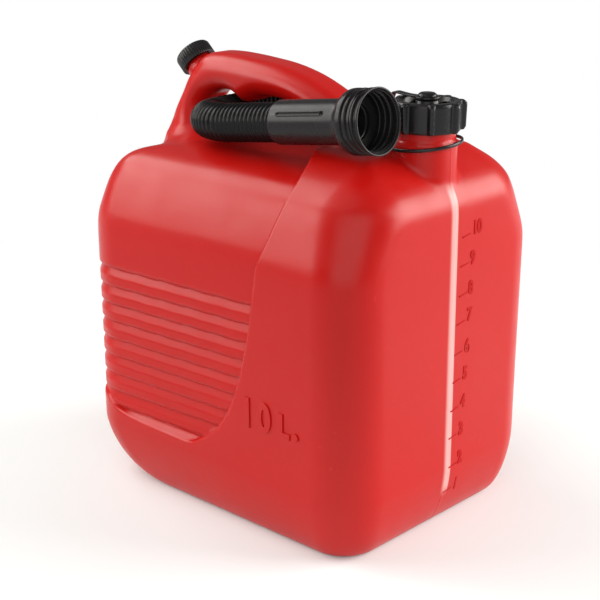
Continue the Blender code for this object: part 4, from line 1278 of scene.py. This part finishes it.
def makeNozzle(mat):
    r, socket, depth = spout["sleeve"], spout["socket"], spout["socketDepth"]
    profile = [(socket, 0), (r - 0.0010, 0), (r - 0.0003, 0.0003), (r, 0.0012), (r, 0.0176),
               (r - 0.0006, 0.0192), (r - 0.0018, 0.0203), (0.0128, 0.0230), (0.0098, 0.0560),
               (0.0100, 0.0566), (0.0096, 0.0575), (0.0090, 0.0580), (0.0080, 0.0580),
               (0.0076, 0.0574), (0.0110, 0.0200), (0.0110, depth), (socket, depth)]
    piece = latheMesh("nozzle", profile, 96, 50)
    place = (hose["bendX"] + hose["farLeg"], hose["farY"], hose["farZ"])
    piece.data.transform(Matrix.Translation(place) @ Matrix.Rotation(math.pi / 2, 4, "Y"))
    dress(piece, mat, "spout_tip", "black_plastic", "spout_nozzle")


# marks on the can
marks = {
    "left": [0.0010, 0.0031, 0.0019, 0.0029, 0.0041, 0.0048, 0.0065, 0.0076, 0.0082, 0.0093],
    "tickZ": [0.0259, 0.0451, 0.0671, 0.0872, 0.1078, 0.1276, 0.1491, 0.1688, 0.1896, 0.2096],
    "middle": [0.0139, 0.0150, 0.0150, 0.0161, 0.0172, 0.0180, 0.0193, 0.0197, 0.0207, 0.0246],
    "middleZ": [0.0281, 0.0486, 0.0701, 0.0904, 0.1108, 0.1303, 0.1526, 0.1717, 0.1927, 0.2132],
    "size": 0.0128,
    "rise": 0.00036,
    "weight": 0.00042,
    "narrow": 0.80,
    "tick": (0.0082, 0.0008),
    "slant": math.radians(9),
    "dot": 0.0013,
    "volumeRise": 0.0007,
    "volumeWeight": 0.0008,
    # words, size, x, height, narrowing
    "volume": [("1", 0.0285, 0.0425, 0.0925, 0.9), ("0", 0.0285, 0.0583, 0.0925, 0.86),
               ("L", 0.0215, 0.0762, 0.0918, 0.95), (".", 0.0285, 0.0868, 0.0866, 1.0)],
}


def frontX(z):
    # the front's place at height z
    tuck, taper = baseTuck(z)
    return canShape["halfLength"] - insetAt(frontCurve, z) - tuck - canShape["frontTaper"] * taper


def sideY(z):
    tuck, taper = baseTuck(z)
    return canShape["halfWidth"] - tuck - canShape["sideTaper"] * taper


def flatText(words, size, rise, weight, narrow):
    # flat letters or numbers with a small bevel
    data = bpy.data.curves.new("words", "FONT")
    data.body = words
    data.size = size
    data.offset = weight
    data.extrude = rise
    data.bevel_depth = rise * 0.5
    data.bevel_resolution = 1
    data.align_x = "CENTER"
    data.align_y = "CENTER"
    text = bpy.data.objects.new("words", data)
    bpy.context.scene.collection.objects.link(text)
    bpy.context.view_layer.update()
    mesh = bpy.data.meshes.new_from_object(
        text.evaluated_get(bpy.context.evaluated_depsgraph_get()))
    bpy.data.objects.remove(text, do_unlink=True)
    piece = bpy.data.objects.new("words", mesh)
    bpy.context.scene.collection.objects.link(piece)
    mesh.transform(Matrix.Diagonal((narrow, 1, 1, 1)))
    return piece


def makeMarks():
    parts = []
    for k in range(10):
        number = flatText(str(k + 1), marks["size"], marks["rise"], marks["weight"],
                          marks["narrow"])
        number.data.transform(Matrix.Translation((marks["middle"][k], marks["middleZ"][k], 0)))
        tick = softBlock("tick", (*marks["tick"], marks["rise"] * 3), 0.0002)
        tick.data.transform(
            Matrix.Translation((marks["left"][k] + marks["tick"][0] / 2, marks["tickZ"][k], 0))
            @ Matrix.Rotation(marks["slant"], 4, "Z"))
        dot = softBlock("dot", (marks["dot"], marks["dot"], marks["rise"] * 3), 0.0004)
        dot.data.transform(Matrix.Translation((marks["left"][k], marks["tickZ"][k] - 0.0006, 0)))
        parts += [number, tick, dot]
    # bent onto the front
    scale = gather("litreMarks", parts)
    for vertex in scale.data.vertices:
        u, v, w = vertex.co
        vertex.co = (float(frontX(v)) + min(w, marks["rise"]), u, v)
    # the litre marks take the darker red of painted shade
    dress(scale, shadedMarkRed, "can", "red_plastic")

    parts = []
    for words, size, x, z, narrow in marks["volume"]:
        letter = flatText(words, size, marks["volumeRise"], marks["volumeWeight"], narrow)
        low = min(v.co.y for v in letter.data.vertices)
        high = max(v.co.y for v in letter.data.vertices)
        letter.data.transform(Matrix.Translation((x, z - (low + high) / 2, 0)))
        parts.append(letter)
    label = gather("volumeMark", parts)
    for vertex in label.data.vertices:
        u, v, w = vertex.co
        vertex.co = (u, -float(sideY(v)) - w, v)
    dress(label, red, "can", "red_plastic")


makeFillerCap(capBlack)
makeTether(capBlack)
makeVentCap(capBlack)
print("caps and tether ready")
makeSpoutCollar(black)
makeHose(hoseBlack)
makeNozzle(black)
print("spout ready")
makeMarks()
print("marks ready")


# floor, light and camera
floorLook = {
    "colour": (0.80, 0.85, 0.855),
    "glow": 0.10,
    "shadowReach": (0.30, 0.75),
    "farLight": 0.25,
}
worldLight = 0.18


def seenBy(nodes, links, *rays):
    # 1 for these kinds of ray, 0 for the rest
    path = nodes.new("ShaderNodeLightPath")
    seen = path.outputs[rays[0]]
    for ray in rays[1:]:
        seen = addMath(nodes, links, "MAXIMUM", seen, path.outputs[ray])
    return seen


def makeFloor():
    bpy.ops.mesh.primitive_plane_add(size=8, location=(0, 0, -0.0002))
    floor = bpy.context.object
    floor.name = "floor"
    mat = bpy.data.materials.new("paleFloor")
    mat.use_nodes = True
    nodes, links = mat.node_tree.nodes, mat.node_tree.links
    shader = nodes["Principled BSDF"]
    shader.inputs["Base Color"].default_value = (*floorLook["colour"], 1)
    shader.inputs["Roughness"].default_value = 0.9
    shader.inputs["Specular IOR Level"].default_value = 0.0
    glow = nodes.new("ShaderNodeEmission")
    glow.inputs["Color"].default_value = (1, 1, 1, 1)
    both = nodes.new("ShaderNodeAddShader")
    output = nodes["Material Output"]
    seen = seenBy(nodes, links, "Is Camera Ray", "Is Glossy Ray", "Is Transmission Ray")
    links.new(addMath(nodes, links, "MULTIPLY", seen, floorLook["glow"]), glow.inputs["Strength"])
    links.new(shader.outputs[0], both.inputs[0])
    links.new(glow.outputs[0], both.inputs[1])
    # plain white further out
    far = nodes.new("ShaderNodeVectorMath")
    far.operation = "LENGTH"
    links.new(nodes.new("ShaderNodeNewGeometry").outputs["Position"], far.inputs[0])
    edge = addRange(nodes, links, far.outputs["Value"], *floorLook["shadowReach"])
    white = nodes.new("ShaderNodeEmission")
    links.new(addRange(nodes, links, seen, 0, 1, floorLook["farLight"], 1.0, False),
              white.inputs["Strength"])
    whole = nodes.new("ShaderNodeMixShader")
    links.new(edge, whole.inputs["Fac"])
    links.new(both.outputs[0], whole.inputs[1])
    links.new(white.outputs[0], whole.inputs[2])
    links.new(whole.outputs[0], output.inputs["Surface"])
    floor.data.materials.append(mat)


def makeWorld():
    world = bpy.data.worlds.new("studio")
    bpy.context.scene.world = world
    world.use_nodes = True
    nodes, links = world.node_tree.nodes, world.node_tree.links
    back = nodes["Background"]
    back.inputs["Color"].default_value = (1, 1, 1, 1)
    mix = nodes.new("ShaderNodeMix")
    mix.inputs["A"].default_value = worldLight
    mix.inputs["B"].default_value = 1.0
    links.new(seenBy(nodes, links, "Is Camera Ray", "Is Transmission Ray"), mix.inputs["Factor"])
    links.new(mix.outputs["Result"], back.inputs["Strength"])


warm = (1.0, 0.98, 0.94)
# place, aim, size, power
lamps = {
    "topSoftbox": ((-0.10, -0.45, 1.22), (0, 0, 0.15), (0.9, 0.7), 1.5),
    "rightSoftbox": ((0.92, 0.85, 0.60), (0.1, 0, 0.15), (1.1, 0.9), 24.0),
    "leftSoftbox": ((-0.90, -0.87, 0.66), (0, 0, 0.15), (0.8, 0.65), 9.0),
    "rearSoftbox": ((-0.95, -0.28, 1.06), (0, 0, 0.20), (0.9, 0.65), 9.5),
    "frontFill": ((0.75, -0.95, 0.60), (0, 0, 0.12), (1.2, 1.0), 6.0),
}
view = {
    "azimuth": math.radians(42.98),
    "elevation": math.radians(17.90),
    "aim": (-0.002154, -0.002154, 0.138179),
    "distance": 1.0182,
    "right": -0.0006,
    "lens": 1385 / 600 * 36,
}


def makeLamp(name, place, aim, size, power):
    data = bpy.data.lights.new(name, "AREA")
    data.shape = "RECTANGLE"
    data.size, data.size_y = size
    data.energy = power
    data.color = warm
    lamp = bpy.data.objects.new(name, data)
    bpy.context.scene.collection.objects.link(lamp)
    lamp.location = place
    lamp.rotation_mode = "QUATERNION"
    lamp.rotation_quaternion = (Vector(aim) - Vector(place)).to_track_quat("-Z", "Y")


def makeCamera():
    azimuth, elevation = view["azimuth"], view["elevation"]
    back = Vector((math.sin(azimuth) * math.cos(elevation),
                   -math.cos(azimuth) * math.cos(elevation), math.sin(elevation)))
    right = Vector((math.cos(azimuth), math.sin(azimuth), 0))
    up = back.cross(right)
    data = bpy.data.cameras.new("camera")
    data.sensor_width = 36
    data.lens = view["lens"]
    camera = bpy.data.objects.new("camera", data)
    bpy.context.scene.collection.objects.link(camera)
    camera.matrix_world = Matrix((right, up, back)).transposed().to_4x4()
    camera.location = Vector(view["aim"]) + back * view["distance"] + right * view["right"]
    bpy.context.scene.camera = camera


makeFloor()
makeWorld()
for lampName, row in lamps.items():
    makeLamp(lampName, *row)
makeCamera()
bpy.context.scene.view_settings.view_transform = "Standard"
print("stage and camera ready")
